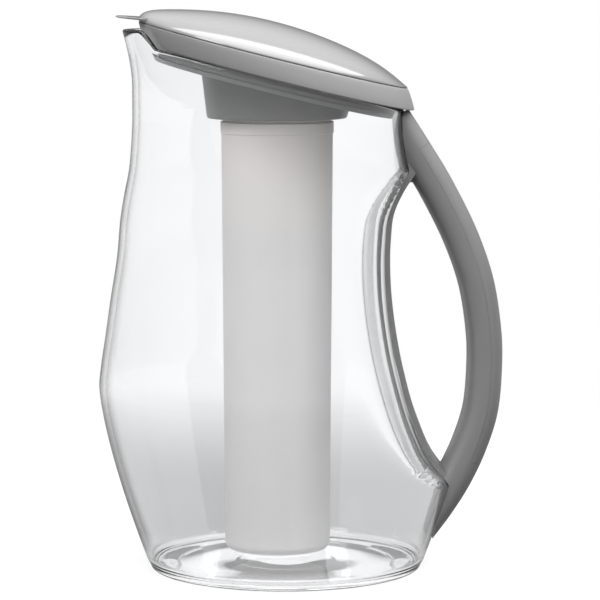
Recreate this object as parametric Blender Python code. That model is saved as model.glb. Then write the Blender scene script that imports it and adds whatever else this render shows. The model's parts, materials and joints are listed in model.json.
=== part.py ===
"""Ice pitcher with a lift-off lid and an ice tube that hangs from the lid.

Units are metres and +Z is up. The origin is the middle of the base, on the surface that the pitcher
stands on. The spout points along -X, the handle along +X, and the plane y = 0 is the plane of symmetry.
"""

import math

import bmesh
import bpy
import numpy as np
from mathutils import Matrix, Vector

# General clearances
FIT_GAP = 0.0003
CUT_OVERRUN = 0.004

# Vessel: outer form. The neck stands on the belly and the rim on the neck
BASE_RADIUS = 0.0624
BELLY_SWELL = 0.0232
BELLY_HEIGHT = 0.0840
NECK_RADIUS = 0.0590
NECK_RISE = 0.1210
NECK_OFFSET = 0.0050
CHANNEL_DEPTH = 0.0057
RIM_RISE = 0.0205
RIM_TILT = math.radians(14.0)
SPOUT_FLARE = 0.0070
SPOUT_START_DROP = 0.0035
SPOUT_FLARE_HEIGHT = 0.0325
LIP_RISE = 0.0034
LIP_FULL_ANGLE = math.radians(22.0)
LIP_END_ANGLE = math.radians(33.0)

# Vessel: the hollow that the fingers go into, from below the belly to below the neck
SCOOP_BOTTOM_DROP = 0.0450
SCOOP_TOP_DROP = 0.0170
SCOOP_DEPTH = 0.0095
SCOOP_EDGE = 0.0009
SCOOP_CORNER = 0.0170

# Vessel: walls and foot
WALL = 0.0028
FLOOR_THICKNESS = 0.0030
FLOOR_CORNER = 0.0060
FOOT_ROUND = 0.0014
FOOT_RING_WIDTH = 0.0110
FOOT_GROOVE_DEPTH = 0.0010
CENTRE_PAD_RADIUS = 0.0220

# Vessel: fixings for the handle
BOSS_RADIUS = 0.0042
BOSS_DROP = 0.0068
BOSS_LENGTH = 0.0047
HOOK_WIDTH = 0.0100
HOOK_TALL = 0.0060
HOOK_DROP = 0.0090
HOOK_DEPTH = 0.0041

# Handle: its ends are set by the neck, the rim and the base, and it bows out between them
HANDLE_BOW = 0.0376
HANDLE_TOP_PROUD = 0.0022
HANDLE_FOOT_PROUD = 0.0038
HANDLE_BOTTOM = 0.0105
HANDLE_FOOT_CUT = 0.0025
STRAP_THICKNESS = 0.0163
HANDLE_WIDTH = 0.0280
HANDLE_SHELL = 0.0022
LINER_THICKNESS = 0.0029
LINER_WIDTH = 0.0250
COVER_DEPTH = 0.0058
COVER_TOP_DROP = 0.0143
COVER_BOTTOM_RISE = 0.0375
CORE_TOP_DROP = 0.0260
CORE_BOTTOM_RISE = 0.0120

# Screws
SCREW_RADIUS = 0.0015
SCREW_HEAD_RADIUS = 0.0029
SCREW_HEAD_HEIGHT = 0.0020
SCREW_SLOT_WIDTH = 0.0008
SCREW_SLOT_DEPTH = 0.0008
HANDLE_SCREW_LENGTH = 0.0060
HANDLE_SEAT_THICKNESS = 0.0018
SOCKET_SCREW_LENGTH = 0.0070
SCREW_CLEARANCE = 0.0002

# Lid base: plan sizes are horizontal, heights are measured from the rim plane
BAND_OVERHANG = 0.0021
BAND_SET_BACK = 0.0026
BAND_LEAN = 0.0032
BAND_HEIGHT = 0.0096
BAND_WALL = 0.0022
BAND_ROUND = 0.0008
LID_FLOOR = 0.0020
SKIRT_GAP = 0.0015
SKIRT_HEIGHT = 0.0062
SKIRT_WALL = 0.0026
SKIRT_DRAFT = 0.0008

# Lid gasket, in a seat round the skirt
GASKET_TOP = 0.0012
GASKET_HEIGHT = 0.0030
GASKET_SEAT_DEPTH = 0.0011
GASKET_PROUD = 0.0007

# Lid cover
COVER_CROWN = 0.0111
COVER_EDGE = 0.0036
COVER_BACK_EDGE = 0.0004
COVER_WALL = 0.0020
COVER_TONGUE_HEIGHT = 0.0030
COVER_TONGUE_WALL = 0.0016

# Visor: the cover's thin front edge, which reaches out over the spout
VISOR_REACH = 0.0104
VISOR_ROOT = 0.0016
VISOR_RISE = 0.0003
VISOR_THICKNESS = 0.0011
VISOR_TILT = math.radians(4.5)
VISOR_HALF_ANGLE = math.radians(22.0)

# Tube socket
TUBE_AXIS_OFFSET = 0.0038
SOCKET_DROP = 0.0190
SOCKET_WALL = 0.0051
SOCKET_SPREAD = 0.0030
SOCKET_ROUND = 0.0012
SOCKET_SCREW_INSET = 0.0033
LEDGE_CLEARANCE = 0.0007
LEDGE_RISE = 0.0045
LEDGE_THICKNESS = 0.0018

# Ice tube and its turn lock: its upper end is set out from the socket's foot
TUBE_FOOT_GAP = 0.0045
TUBE_TOP_RADIUS = 0.0254
TUBE_TAPER = 0.0012
TUBE_WALL = 0.0020
TUBE_FLOOR = 0.0026
TUBE_CORNER = 0.0050
TUBE_SHOULDER_DROP = 0.0015
TUBE_RING_HEIGHT = 0.0055
TUBE_RING_STEP = 0.0004
TUBE_NECK_STEP = 0.0011
TUBE_TOP_RISE = 0.0109
LUG_THICKNESS = 0.0018
LOCK_COUNT = 3
LOCK_START = math.radians(3.0)
LOCK_SPAN = math.radians(48.0)
LOCK_LEAD = 0.0120

# Seal ring on the tube
SEAL_RISE = 0.0019
SEAL_SECTION_RADIUS = 0.0016
SEAL_SEAT_DEPTH = 0.0012

# Facets
RING_SEGMENTS = 48
FOOT_STEPS = 4
BELLY_STEPS = 4
SCOOP_STEPS = 9
NECK_STEPS = 6
STRAP_STEPS = 24
VISOR_STEPS = 16
SMALL_SEGMENTS = 16
SEAL_SEGMENTS = 8

# Shares of the rise from belly to neck, and how far the front has drawn in there
FRONT_RISE_SHARES = (-0.09, 0.0, 0.09, 0.18, 0.32, 0.50, 0.64, 0.73, 0.82, 0.90, 1.0)
FRONT_DRAW_SHARES = (0.07, 0.0, 0.07, 0.175, 0.33, 0.545, 0.645, 0.76, 0.895, 0.955, 1.0)
BODY_SWELL_POWER = 1.4
CHANNEL_POWER = 5.0
FLARE_POWER = 1.6
VISOR_POWER = 0.7

# Shares of the scoop's height, and of its spread, from its lower edge to its upper one
SCOOP_RISE_SHARES = (-0.06, 0.0, 0.07, 0.19, 0.34, 0.49, 0.64, 0.76, 0.84, 0.90, 0.96, 1.0, 1.12)
SCOOP_SPREAD_SHARES = (1.32, 1.0, 0.71, 0.435, 0.22, 0.075, 0.0, 0.005, 0.055, 0.185, 0.37, 0.485, 0.92)

# Shares of the handle's height and bow along the back of its strap, top to bottom
STRAP_HEIGHT_SHARES = (1.0, 0.92, 0.84, 0.73, 0.62, 0.51, 0.42, 0.31, 0.22, 0.14, 0.07, 0.0)
STRAP_BOW_SHARES = (0.0, 0.251, 0.486, 0.75, 0.927, 0.998, 0.995, 0.921, 0.757, 0.542, 0.294, 0.0)
STRAP_ROUNDNESS = 2.6

# How fast the cover's edge changes along the pitcher, and how tight its shoulder is
COVER_LEAN_POWER = 7
COVER_SHOULDER_POWER = 8

# Heights and reaches that follow from the sizes above
BELLY_RADIUS = BASE_RADIUS + BELLY_SWELL
NECK_HEIGHT = BELLY_HEIGHT + NECK_RISE
NECK_BACK = NECK_RADIUS - NECK_OFFSET
RIM_HEIGHT = NECK_HEIGHT + RIM_RISE
SPOUT_START_HEIGHT = RIM_HEIGHT - SPOUT_START_DROP
SCOOP_BOTTOM_HEIGHT = BELLY_HEIGHT - SCOOP_BOTTOM_DROP
SCOOP_TOP_HEIGHT = NECK_HEIGHT - SCOOP_TOP_DROP
SCOOP_REACH = NECK_BACK - SCOOP_DEPTH
HOOK_HEIGHT = SCOOP_BOTTOM_HEIGHT - HOOK_DROP
BOSS_HEIGHT = SCOOP_TOP_HEIGHT - BOSS_DROP
RIM_SLOPE = math.tan(RIM_TILT)
LIP_HEIGHT = RIM_HEIGHT + RIM_SLOPE * (NECK_RADIUS + CHANNEL_DEPTH + SPOUT_FLARE) + LIP_RISE
HANDLE_TOP = RIM_HEIGHT - RIM_SLOPE * (NECK_RADIUS + HANDLE_TOP_PROUD)
COVER_TOP_HEIGHT = HANDLE_TOP - COVER_TOP_DROP
COVER_BOTTOM_HEIGHT = HANDLE_BOTTOM + COVER_BOTTOM_RISE
BAND_RADIUS = NECK_RADIUS + BAND_OVERHANG
BAND_BOTTOM_OFFSET = NECK_OFFSET - BAND_SET_BACK
BAND_TOP_OFFSET = BAND_BOTTOM_OFFSET + BAND_LEAN
SKIRT_RADIUS = NECK_RADIUS - WALL - SKIRT_GAP
SKIRT_OFFSET = NECK_OFFSET + FIT_GAP
TUBE_NECK_RADIUS = TUBE_TOP_RADIUS - TUBE_NECK_STEP
SEAL_MIDDLE_RADIUS = TUBE_NECK_RADIUS - SEAL_SEAT_DEPTH + FIT_GAP + SEAL_SECTION_RADIUS
SOCKET_BORE = SEAL_MIDDLE_RADIUS + SEAL_SECTION_RADIUS + FIT_GAP
SOCKET_BOTTOM_RADIUS = SOCKET_BORE + SOCKET_WALL
SOCKET_TOP_RADIUS = SOCKET_BOTTOM_RADIUS + SOCKET_SPREAD
SOCKET_SCREW_CIRCLE = SOCKET_BORE + SOCKET_SCREW_INSET
SOCKET_BOTTOM_HEIGHT = RIM_HEIGHT - SOCKET_DROP
LEDGE_RADIUS = TUBE_NECK_RADIUS + LEDGE_CLEARANCE
LEDGE_HEIGHT = SOCKET_BOTTOM_HEIGHT + LEDGE_RISE
LUG_RADIUS = SOCKET_BORE - 2 * FIT_GAP
TUBE_BOTTOM_HEIGHT = FLOOR_THICKNESS + TUBE_FOOT_GAP
TUBE_BOTTOM_RADIUS = TUBE_TOP_RADIUS - TUBE_TAPER
TUBE_SHOULDER_HEIGHT = SOCKET_BOTTOM_HEIGHT - TUBE_SHOULDER_DROP
TUBE_RING_START = TUBE_SHOULDER_HEIGHT - TUBE_RING_HEIGHT
TUBE_TOP_HEIGHT = SOCKET_BOTTOM_HEIGHT + TUBE_TOP_RISE
SEAL_HEIGHT = SOCKET_BOTTOM_HEIGHT + SEAL_RISE

TUBE_AXIS = Vector((-TUBE_AXIS_OFFSET, 0.0, 0.0))
RIM_NORMAL = Vector((math.sin(RIM_TILT), 0.0, math.cos(RIM_TILT)))


def clear_scene():
    """Remove every object that the file starts with."""
    for item in list(bpy.data.objects):
        bpy.data.objects.remove(item, do_unlink=True)


def make_material(name, colour, roughness, metallic=0.0):
    """Give a Principled material of one finish."""
    material = bpy.data.materials.new(name)
    material.use_nodes = True
    shader = material.node_tree.nodes["Principled BSDF"]
    shader.inputs["Base Color"].default_value = (*colour, 1.0)
    shader.inputs["Roughness"].default_value = roughness
    shader.inputs["Metallic"].default_value = metallic
    material.diffuse_color = (*colour, 1.0)
    return material


def smooth_step(value):
    """Run from 0 to 1 with level ends."""
    value = min(max(value, 0.0), 1.0)
    return value * value * (3.0 - 2.0 * value)


def curve_value(knots, values, position):
    """Read a smooth curve through a table, with straight runs beyond its ends."""
    knots = np.asarray(knots)
    values = np.asarray(values)
    slopes = np.gradient(values, knots)
    if position <= knots[0]:
        return float(values[0] + slopes[0] * (position - knots[0]))
    if position >= knots[-1]:
        return float(values[-1] + slopes[-1] * (position - knots[-1]))
    step = int(np.searchsorted(knots, position, side="right")) - 1
    width = knots[step + 1] - knots[step]
    t = (position - knots[step]) / width
    rise = (1 + 2 * t) * (1 - t) ** 2 * values[step] + t * t * (3 - 2 * t) * values[step + 1]
    lean = t * (1 - t) ** 2 * slopes[step] - t * t * (1 - t) * slopes[step + 1]
    return float(rise + width * lean)


def new_object(name, mesh_data, material):
    """Finish a bmesh as a named object of flat triangles, with its material."""
    bmesh.ops.triangulate(mesh_data, faces=mesh_data.faces, quad_method="FIXED")
    bmesh.ops.recalc_face_normals(mesh_data, faces=mesh_data.faces)
    mesh = bpy.data.meshes.new(name)
    mesh_data.to_mesh(mesh)
    mesh_data.free()
    mesh.shade_smooth()
    mesh.set_sharp_from_angle(angle=math.radians(35.0))
    item = bpy.data.objects.new(name, mesh)
    bpy.context.scene.collection.objects.link(item)
    if material is not None:
        mesh.materials.append(material)
    return item


def mark_as_cutter(item):
    """Keep a cutter out of the model."""
    item.hide_render = True
    item.display_type = "WIRE"
    return item


def add_boolean(item, cutter, operation):
    """Add a Boolean of one named operation."""
    step = item.modifiers.new(cutter.name, "BOOLEAN")
    step.operation = operation
    step.solver = "EXACT"
    step.object = cutter


def add_cuts(item, name, cutters):
    """Cut a set of cutters out of an item in one step."""
    group = bpy.data.collections.new(name)
    bpy.context.scene.collection.children.link(group)
    for cutter in cutters:
        group.objects.link(cutter)
    step = item.modifiers.new(name, "BOOLEAN")
    step.operation = "DIFFERENCE"
    step.solver = "EXACT"
    step.operand_type = "COLLECTION"
    step.collection = group


def loft(rings, close_start=False, close_end=False, close_loop=False):
    """Extrude one ring of points through the rings that follow it."""
    mesh_data = bmesh.new()
    count = len(rings[0])
    current = [mesh_data.verts.new(point) for point in rings[0]]
    edges = [mesh_data.edges.new((current[i], current[(i + 1) % count])) for i in range(count)]
    if close_start:
        mesh_data.faces.new(current)
    following = rings[1:] + [rings[0]] if close_loop else rings[1:]
    for points in following:
        grown = bmesh.ops.extrude_edge_only(mesh_data, edges=edges)["geom"]
        fresh = {part for part in grown if isinstance(part, bmesh.types.BMVert)}
        ahead = []
        for vert in current:
            linked = [edge.other_vert(vert) for edge in vert.link_edges]
            ahead.append(next(other for other in linked if other in fresh))
        for vert, point in zip(ahead, points):
            vert.co = point
        edges = [mesh_data.edges.get((ahead[i], ahead[(i + 1) % count])) for i in range(count)]
        current = ahead
    if close_end:
        mesh_data.faces.new(current)
    if close_loop:
        bmesh.ops.remove_doubles(mesh_data, verts=mesh_data.verts, dist=FIT_GAP / 100)
    return mesh_data


def rim_plane(x):
    """Height of the sloping rim plane over a place along the pitcher."""
    return RIM_HEIGHT - RIM_SLOPE * (x + NECK_OFFSET)


def plan_ring(offset, radius, height, slope_share=1.0, segments=RING_SEGMENTS):
    """A ring that is round in plan and lies in a plane that slopes as the rim does, or less."""
    points = []
    for index in range(segments):
        angle = 2 * math.pi * index / segments
        x = -offset + radius * math.cos(angle)
        level = height - slope_share * RIM_SLOPE * (x + NECK_OFFSET)
        points.append(Vector((x, radius * math.sin(angle), level)))
    return points


def turned(profile, axis=TUBE_AXIS, segments=RING_SEGMENTS, close_loop=False):
    """Turn a profile of (radius, height) pairs about an upright axis."""
    rings = []
    for radius, height in profile:
        ring = []
        for index in range(segments):
            angle = 2 * math.pi * index / segments
            ring.append(axis + Vector((radius * math.cos(angle), radius * math.sin(angle), height)))
        rings.append(ring)
    return loft(rings, not close_loop, not close_loop, close_loop)


def rod(start, end, radius, segments=SMALL_SEGMENTS):
    """A round rod between two points, with a flat of its facets to each side."""
    direction = end - start
    mesh_data = bmesh.new()
    turn = direction.to_track_quat("Z", "Y").to_matrix().to_4x4()
    half_facet = Matrix.Rotation(math.pi / segments, 4, "Z")
    place = Matrix.Translation((start + end) / 2) @ turn @ half_facet
    bmesh.ops.create_cone(
        mesh_data, cap_ends=True, segments=segments,
        radius1=radius, radius2=radius, depth=direction.length, matrix=place,
    )
    return mesh_data


def block(low, high):
    """A box between two corners."""
    mesh_data = bmesh.new()
    size = Vector(high) - Vector(low)
    place = Matrix.Translation((Vector(low) + Vector(high)) / 2) @ Matrix.Diagonal((*size, 1.0))
    bmesh.ops.create_cube(mesh_data, size=1.0, matrix=place)
    return mesh_data


def prism(outline, half_width):
    """An outline in the plane of symmetry, given its width across that plane."""
    left = [Vector((x, -half_width, z)) for x, z in outline]
    right = [Vector((x, half_width, z)) for x, z in outline]
    return loft([left, right], True, True)


def front_reach(height):
    """How far the vessel's front stands from the base's axis."""
    if height <= BELLY_HEIGHT:
        rise = 1.0 - max(height, 0.0) / BELLY_HEIGHT
        return BASE_RADIUS + (BELLY_RADIUS - BASE_RADIUS) * (1.0 - rise ** BODY_SWELL_POWER)
    neck_front = NECK_RADIUS + NECK_OFFSET + CHANNEL_DEPTH
    rise = min((height - BELLY_HEIGHT) / (NECK_HEIGHT - BELLY_HEIGHT), 1.0)
    drawn = curve_value(FRONT_RISE_SHARES, FRONT_DRAW_SHARES, rise)
    return BELLY_RADIUS - (BELLY_RADIUS - neck_front) * drawn


def neck_share(height):
    """0 at the belly, where the vessel is round, and 1 at the neck."""
    return smooth_step((height - BELLY_HEIGHT) / (NECK_HEIGHT - BELLY_HEIGHT))


def spout_depth(height):
    """How far the pour channel stands before the round neck."""
    share = max((height - SPOUT_START_HEIGHT) / SPOUT_FLARE_HEIGHT, 0.0)
    return CHANNEL_DEPTH * neck_share(height) + SPOUT_FLARE * share ** FLARE_POWER


def scoop_reach(height):
    """How far the back wall of the scoop stands from the base's axis."""
    share = (height - SCOOP_BOTTOM_HEIGHT) / (SCOOP_TOP_HEIGHT - SCOOP_BOTTOM_HEIGHT)
    spread = front_reach(SCOOP_BOTTOM_HEIGHT) - SCOOP_EDGE - SCOOP_REACH
    return SCOOP_REACH + spread * curve_value(SCOOP_RISE_SHARES, SCOOP_SPREAD_SHARES, share)


def vessel_point(angle, height, grow=0.0):
    """A point of the vessel's skin, moved out by grow, at an angle from the handle's side."""
    offset = NECK_OFFSET * neck_share(height)
    side = front_reach(height) - offset - CHANNEL_DEPTH * neck_share(height)
    facing = max(-math.cos(angle), 0.0)
    radius = side + grow + spout_depth(height) * facing ** CHANNEL_POWER
    x = radius * math.cos(angle) - offset
    wall_at = scoop_reach(height) + grow
    room = side - offset - scoop_reach(height)
    corner = min(max(0.6 * room, FIT_GAP), SCOOP_CORNER)
    overlap = max(corner - abs(x - wall_at), 0.0) / corner
    x = min(x, wall_at) - overlap * overlap * corner / 4
    return Vector((x, radius * math.sin(angle), height))


def back_wall(height):
    """How far the back of the vessel's outer skin stands from the base's axis."""
    return vessel_point(0.0, height).x


def rim_level(angle, grow):
    """Height of a skin's rim, with the raised and level lip of the spout."""
    level = RIM_HEIGHT
    from_front = abs(math.pi - angle)
    lift = smooth_step((LIP_END_ANGLE - from_front) / (LIP_END_ANGLE - LIP_FULL_ANGLE))
    for _ in range(6):
        plane = rim_plane(vessel_point(angle, level, grow).x)
        level = plane + (LIP_HEIGHT - plane) * lift
    return level


def vessel_rings(levels, grow):
    """Level rings up the body, then rings that lean more and more until they reach the rim."""
    angles = [2 * math.pi * index / RING_SEGMENTS for index in range(RING_SEGMENTS)]
    rings = [[vessel_point(angle, level, grow) for angle in angles] for level in levels]
    start = levels[-1]
    tops = [rim_level(angle, grow) for angle in angles]
    for step in range(1, NECK_STEPS + 1):
        share = step / NECK_STEPS
        ring = [vessel_point(angle, start + share * (top - start), grow) for angle, top in zip(angles, tops)]
        rings.append(ring)
    return rings


def body_levels(lowest):
    """Heights of the level rings, with one at each corner of the scoop and each fixing."""
    levels = list(np.linspace(lowest, SCOOP_BOTTOM_HEIGHT, FOOT_STEPS))
    levels += list(np.linspace(SCOOP_BOTTOM_HEIGHT, BELLY_HEIGHT, BELLY_STEPS))[1:]
    levels += list(np.linspace(BELLY_HEIGHT, SCOOP_TOP_HEIGHT, SCOOP_STEPS))[1:]
    levels += [HOOK_HEIGHT, BOSS_HEIGHT]
    return sorted(float(level) for level in levels)


def round_ring(radius, height):
    """A level ring about the base's axis."""
    angles = [2 * math.pi * index / RING_SEGMENTS for index in range(RING_SEGMENTS)]
    return [Vector((radius * math.cos(a), radius * math.sin(a), height)) for a in angles]


def boss_face():
    """The middle of the flat end of the boss behind the neck."""
    return Vector((back_wall(BOSS_HEIGHT) + BOSS_LENGTH, 0.0, BOSS_HEIGHT))


def hook_block(clearance):
    """The lug that the handle's foot hooks over, or the room for it."""
    wall_at = back_wall(HOOK_HEIGHT)
    half_wide = HOOK_WIDTH / 2 + clearance
    half_tall = HOOK_TALL / 2 + clearance
    low = (wall_at - WALL / 2, -half_wide, HOOK_HEIGHT - half_tall)
    high = (wall_at + HOOK_DEPTH + clearance, half_wide, HOOK_HEIGHT + half_tall)
    return block(low, high)


def make_vessel(material):
    """The clear body: a lofted skin, its inner skin, the foot below and the floor inside."""
    foot_radius = BASE_RADIUS - FOOT_ROUND
    groove_radius = foot_radius - FOOT_RING_WIDTH
    groove_top = groove_radius - FOOT_GROOVE_DEPTH
    under = [
        round_ring(CENTRE_PAD_RADIUS / 2, 0.0),
        round_ring(CENTRE_PAD_RADIUS, 0.0),
        round_ring(CENTRE_PAD_RADIUS + FOOT_GROOVE_DEPTH, FOOT_GROOVE_DEPTH),
        round_ring(groove_top, FOOT_GROOVE_DEPTH),
        round_ring(groove_radius, 0.0),
        round_ring(foot_radius, 0.0),
        round_ring(BASE_RADIUS - FOOT_ROUND * 0.3, FOOT_ROUND * 0.3),
    ]
    outside = vessel_rings(body_levels(FOOT_ROUND), 0.0)
    wall_start = FLOOR_THICKNESS + FLOOR_CORNER
    inside = vessel_rings(body_levels(wall_start), -WALL)
    corner_radius = front_reach(wall_start) - WALL
    floor = [
        round_ring(corner_radius - FLOOR_CORNER * 0.3, FLOOR_THICKNESS + FLOOR_CORNER * 0.3),
        round_ring(corner_radius - FLOOR_CORNER, FLOOR_THICKNESS),
        round_ring(corner_radius / 2, FLOOR_THICKNESS),
    ]
    skin = under + outside + inside[::-1] + floor
    vessel = new_object("vessel", loft(skin, True, True), material)

    boss_end = boss_face()
    boss_start = boss_end - Vector((BOSS_LENGTH + WALL / 2, 0.0, 0.0))
    boss = new_object("vessel_boss", rod(boss_start, boss_end, BOSS_RADIUS), None)
    add_boolean(vessel, mark_as_cutter(boss), "UNION")

    hook = new_object("vessel_hook", hook_block(0.0), None)
    add_boolean(vessel, mark_as_cutter(hook), "UNION")

    pilot_start = boss_end + Vector((HANDLE_SEAT_THICKNESS - HANDLE_SCREW_LENGTH, 0.0, 0.0))
    pilot_end = boss_end + Vector((CUT_OVERRUN, 0.0, 0.0))
    pilot = rod(pilot_start, pilot_end, SCREW_RADIUS + SCREW_CLEARANCE)
    add_boolean(vessel, mark_as_cutter(new_object("vessel_pilot", pilot, None)), "DIFFERENCE")
    return vessel


def make_vessel_envelope():
    """The vessel's outer form with the fit clearance on it, which trims the handle."""
    rings = [round_ring(BASE_RADIUS + FIT_GAP, -FIT_GAP)]
    rings += vessel_rings(body_levels(FOOT_ROUND), FIT_GAP)
    envelope = new_object("vessel_envelope", loft(rings, True, True), None)
    return mark_as_cutter(envelope)


def strap_back(share):
    """A point on the back of the strap, from its top at 0 to its foot at 1."""
    count = len(STRAP_HEIGHT_SHARES)
    knots = np.linspace(0.0, 1.0, count)
    height_share = curve_value(knots, STRAP_HEIGHT_SHARES, share)
    bow_share = curve_value(knots, STRAP_BOW_SHARES, share)
    height = HANDLE_BOTTOM + (HANDLE_TOP - HANDLE_BOTTOM) * height_share
    foot_at = BASE_RADIUS + HANDLE_FOOT_PROUD
    top_at = NECK_BACK + HANDLE_TOP_PROUD
    return Vector((foot_at + (top_at - foot_at) * height_share + HANDLE_BOW * bow_share, 0.0, height))


def strap_frame(share):
    """The back point of the strap and the direction straight out of it."""
    step = 0.002
    along = (strap_back(share + step) - strap_back(share - step)).normalized()
    return strap_back(share), Vector((-along.z, 0.0, along.x))


def strap_share_at(height):
    """Where the back of the strap passes a height."""
    shares = np.linspace(0.0, 1.0, 400)
    heights = [strap_back(share).z for share in shares]
    return float(np.interp(-height, [-value for value in heights], shares))


def strap_loft(start, end, stations, inset):
    """The strap as a run of rounded sections between two of its shares."""
    half_thick = STRAP_THICKNESS / 2 - inset
    half_wide = HANDLE_WIDTH / 2 - inset
    power = 2.0 / STRAP_ROUNDNESS
    rings = []
    for share in np.linspace(start, end, stations):
        back, outward = strap_frame(share)
        middle = back - outward * (STRAP_THICKNESS / 2)
        ring = []
        for index in range(SMALL_SEGMENTS + 4):
            angle = 2 * math.pi * (index + 0.5) / (SMALL_SEGMENTS + 4)
            across = math.copysign(abs(math.cos(angle)) ** power, math.cos(angle))
            aside = math.copysign(abs(math.sin(angle)) ** power, math.sin(angle))
            ring.append(middle + outward * (half_thick * across) + Vector((0.0, half_wide * aside, 0.0)))
        rings.append(ring)
    return loft(rings, True, True)


def cover_zone(clearance):
    """The part of the strap's side view that belongs to its back cover."""
    start = strap_share_at(COVER_TOP_HEIGHT + clearance)
    end = strap_share_at(COVER_BOTTOM_HEIGHT - clearance)
    inner = []
    outer = []
    for share in np.linspace(start, end, 22):
        back, outward = strap_frame(share)
        seam = back - outward * (COVER_DEPTH + clearance)
        far = back + outward * CUT_OVERRUN
        inner.append((seam.x, seam.z))
        outer.append((far.x, far.z))
    return prism(inner + outer[::-1], HANDLE_WIDTH)


def make_handle(frame_material, cover_material):
    """The loop that hugs the vessel, and the cover that closes the back of its strap."""
    foot = strap_share_at(HANDLE_BOTTOM + HANDLE_FOOT_CUT)
    frame = new_object("handle_frame", strap_loft(0.0, foot, STRAP_STEPS, 0.0), frame_material)
    cover = new_object("handle_back_cover", strap_loft(0.0, foot, STRAP_STEPS, 0.0), cover_material)

    liner_rings = []
    for height in np.linspace(SCOOP_BOTTOM_HEIGHT - FIT_GAP, SCOOP_TOP_HEIGHT + FIT_GAP, 22):
        level = float(height)
        inner = scoop_reach(level) - WALL
        outer = scoop_reach(level) + FIT_GAP + LINER_THICKNESS
        aside = LINER_WIDTH / 2
        corners = ((inner, -aside), (outer, -aside), (outer, aside), (inner, aside))
        liner_rings.append([Vector((x, y, level)) for x, y in corners])
    liner = new_object("handle_liner", loft(liner_rings, True, True), None)
    add_boolean(frame, mark_as_cutter(liner), "UNION")

    core_start = strap_share_at(COVER_TOP_HEIGHT - CORE_TOP_DROP)
    core_end = strap_share_at(COVER_BOTTOM_HEIGHT + CORE_BOTTOM_RISE)
    core = new_object("handle_core", strap_loft(core_start, core_end, 18, HANDLE_SHELL), None)
    mark_as_cutter(core)
    zone = mark_as_cutter(new_object("handle_cover_zone", cover_zone(0.0), None))
    zone_gap = mark_as_cutter(new_object("handle_cover_room", cover_zone(FIT_GAP), None))
    envelope = make_vessel_envelope()

    face = boss_face()
    far = face + Vector((HANDLE_BOW, 0.0, 0.0))
    root = face - Vector((BOSS_LENGTH + WALL, 0.0, 0.0))
    seat_start = face + Vector((HANDLE_SEAT_THICKNESS, 0.0, 0.0))
    head_end = seat_start + Vector((SCREW_HEAD_HEIGHT + 2 * FIT_GAP, 0.0, 0.0))
    room_end = face + Vector((FIT_GAP, 0.0, 0.0))
    cuts = {
        "handle_screw_seat": rod(seat_start, far, SCREW_HEAD_RADIUS + FIT_GAP),
        "handle_screw_way": rod(face, far, SCREW_RADIUS + SCREW_CLEARANCE),
        "handle_boss_room": rod(root, room_end, BOSS_RADIUS + FIT_GAP),
        "handle_hook_room": hook_block(FIT_GAP),
    }
    fixings = [mark_as_cutter(new_object(name, cut, None)) for name, cut in cuts.items()]
    add_cuts(frame, "handle_frame_cuts", [zone_gap, core, envelope, *fixings])

    add_boolean(cover, zone, "INTERSECT")
    add_boolean(cover, core, "DIFFERENCE")
    head_room = new_object("handle_head_room", rod(seat_start, head_end, SCREW_HEAD_RADIUS + FIT_GAP), None)
    add_boolean(cover, mark_as_cutter(head_room), "DIFFERENCE")
    return frame, cover


def screw_mesh(length):
    """A pan-head screw with its point down, its head's seat at height zero."""
    half = SCREW_HEAD_RADIUS
    profile = (
        (SCREW_RADIUS * 0.4, -length),
        (SCREW_RADIUS, -length + SCREW_RADIUS),
        (SCREW_RADIUS, 0.0),
        (half, 0.0),
        (half, SCREW_HEAD_HEIGHT * 0.6),
        (half * 0.75, SCREW_HEAD_HEIGHT),
    )
    return turned(profile, Vector((0.0, 0.0, 0.0)), SMALL_SEGMENTS)


def make_screw(name, length, seat, direction, material):
    """A screw whose head sits at a place and whose shank points along a direction."""
    screw = new_object(name, screw_mesh(length), material)
    screw.location = seat
    screw.rotation_euler = (-direction).to_track_quat("Z", "Y").to_euler()
    slot_low = (-SCREW_HEAD_RADIUS * 2, -SCREW_SLOT_WIDTH / 2, SCREW_HEAD_HEIGHT - SCREW_SLOT_DEPTH)
    slot_high = (SCREW_HEAD_RADIUS * 2, SCREW_SLOT_WIDTH / 2, SCREW_HEAD_HEIGHT + SCREW_SLOT_DEPTH)
    slot = new_object(name + "_slot", block(slot_low, slot_high), None)
    slot.parent = screw
    add_boolean(screw, mark_as_cutter(slot), "DIFFERENCE")
    return screw


def band_offset(height):
    """How far the leaning band is set to the front, at a height over the rim plane."""
    share = (height - RIM_HEIGHT - FIT_GAP) / BAND_HEIGHT
    return BAND_BOTTOM_OFFSET + (BAND_TOP_OFFSET - BAND_BOTTOM_OFFSET) * share


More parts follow.
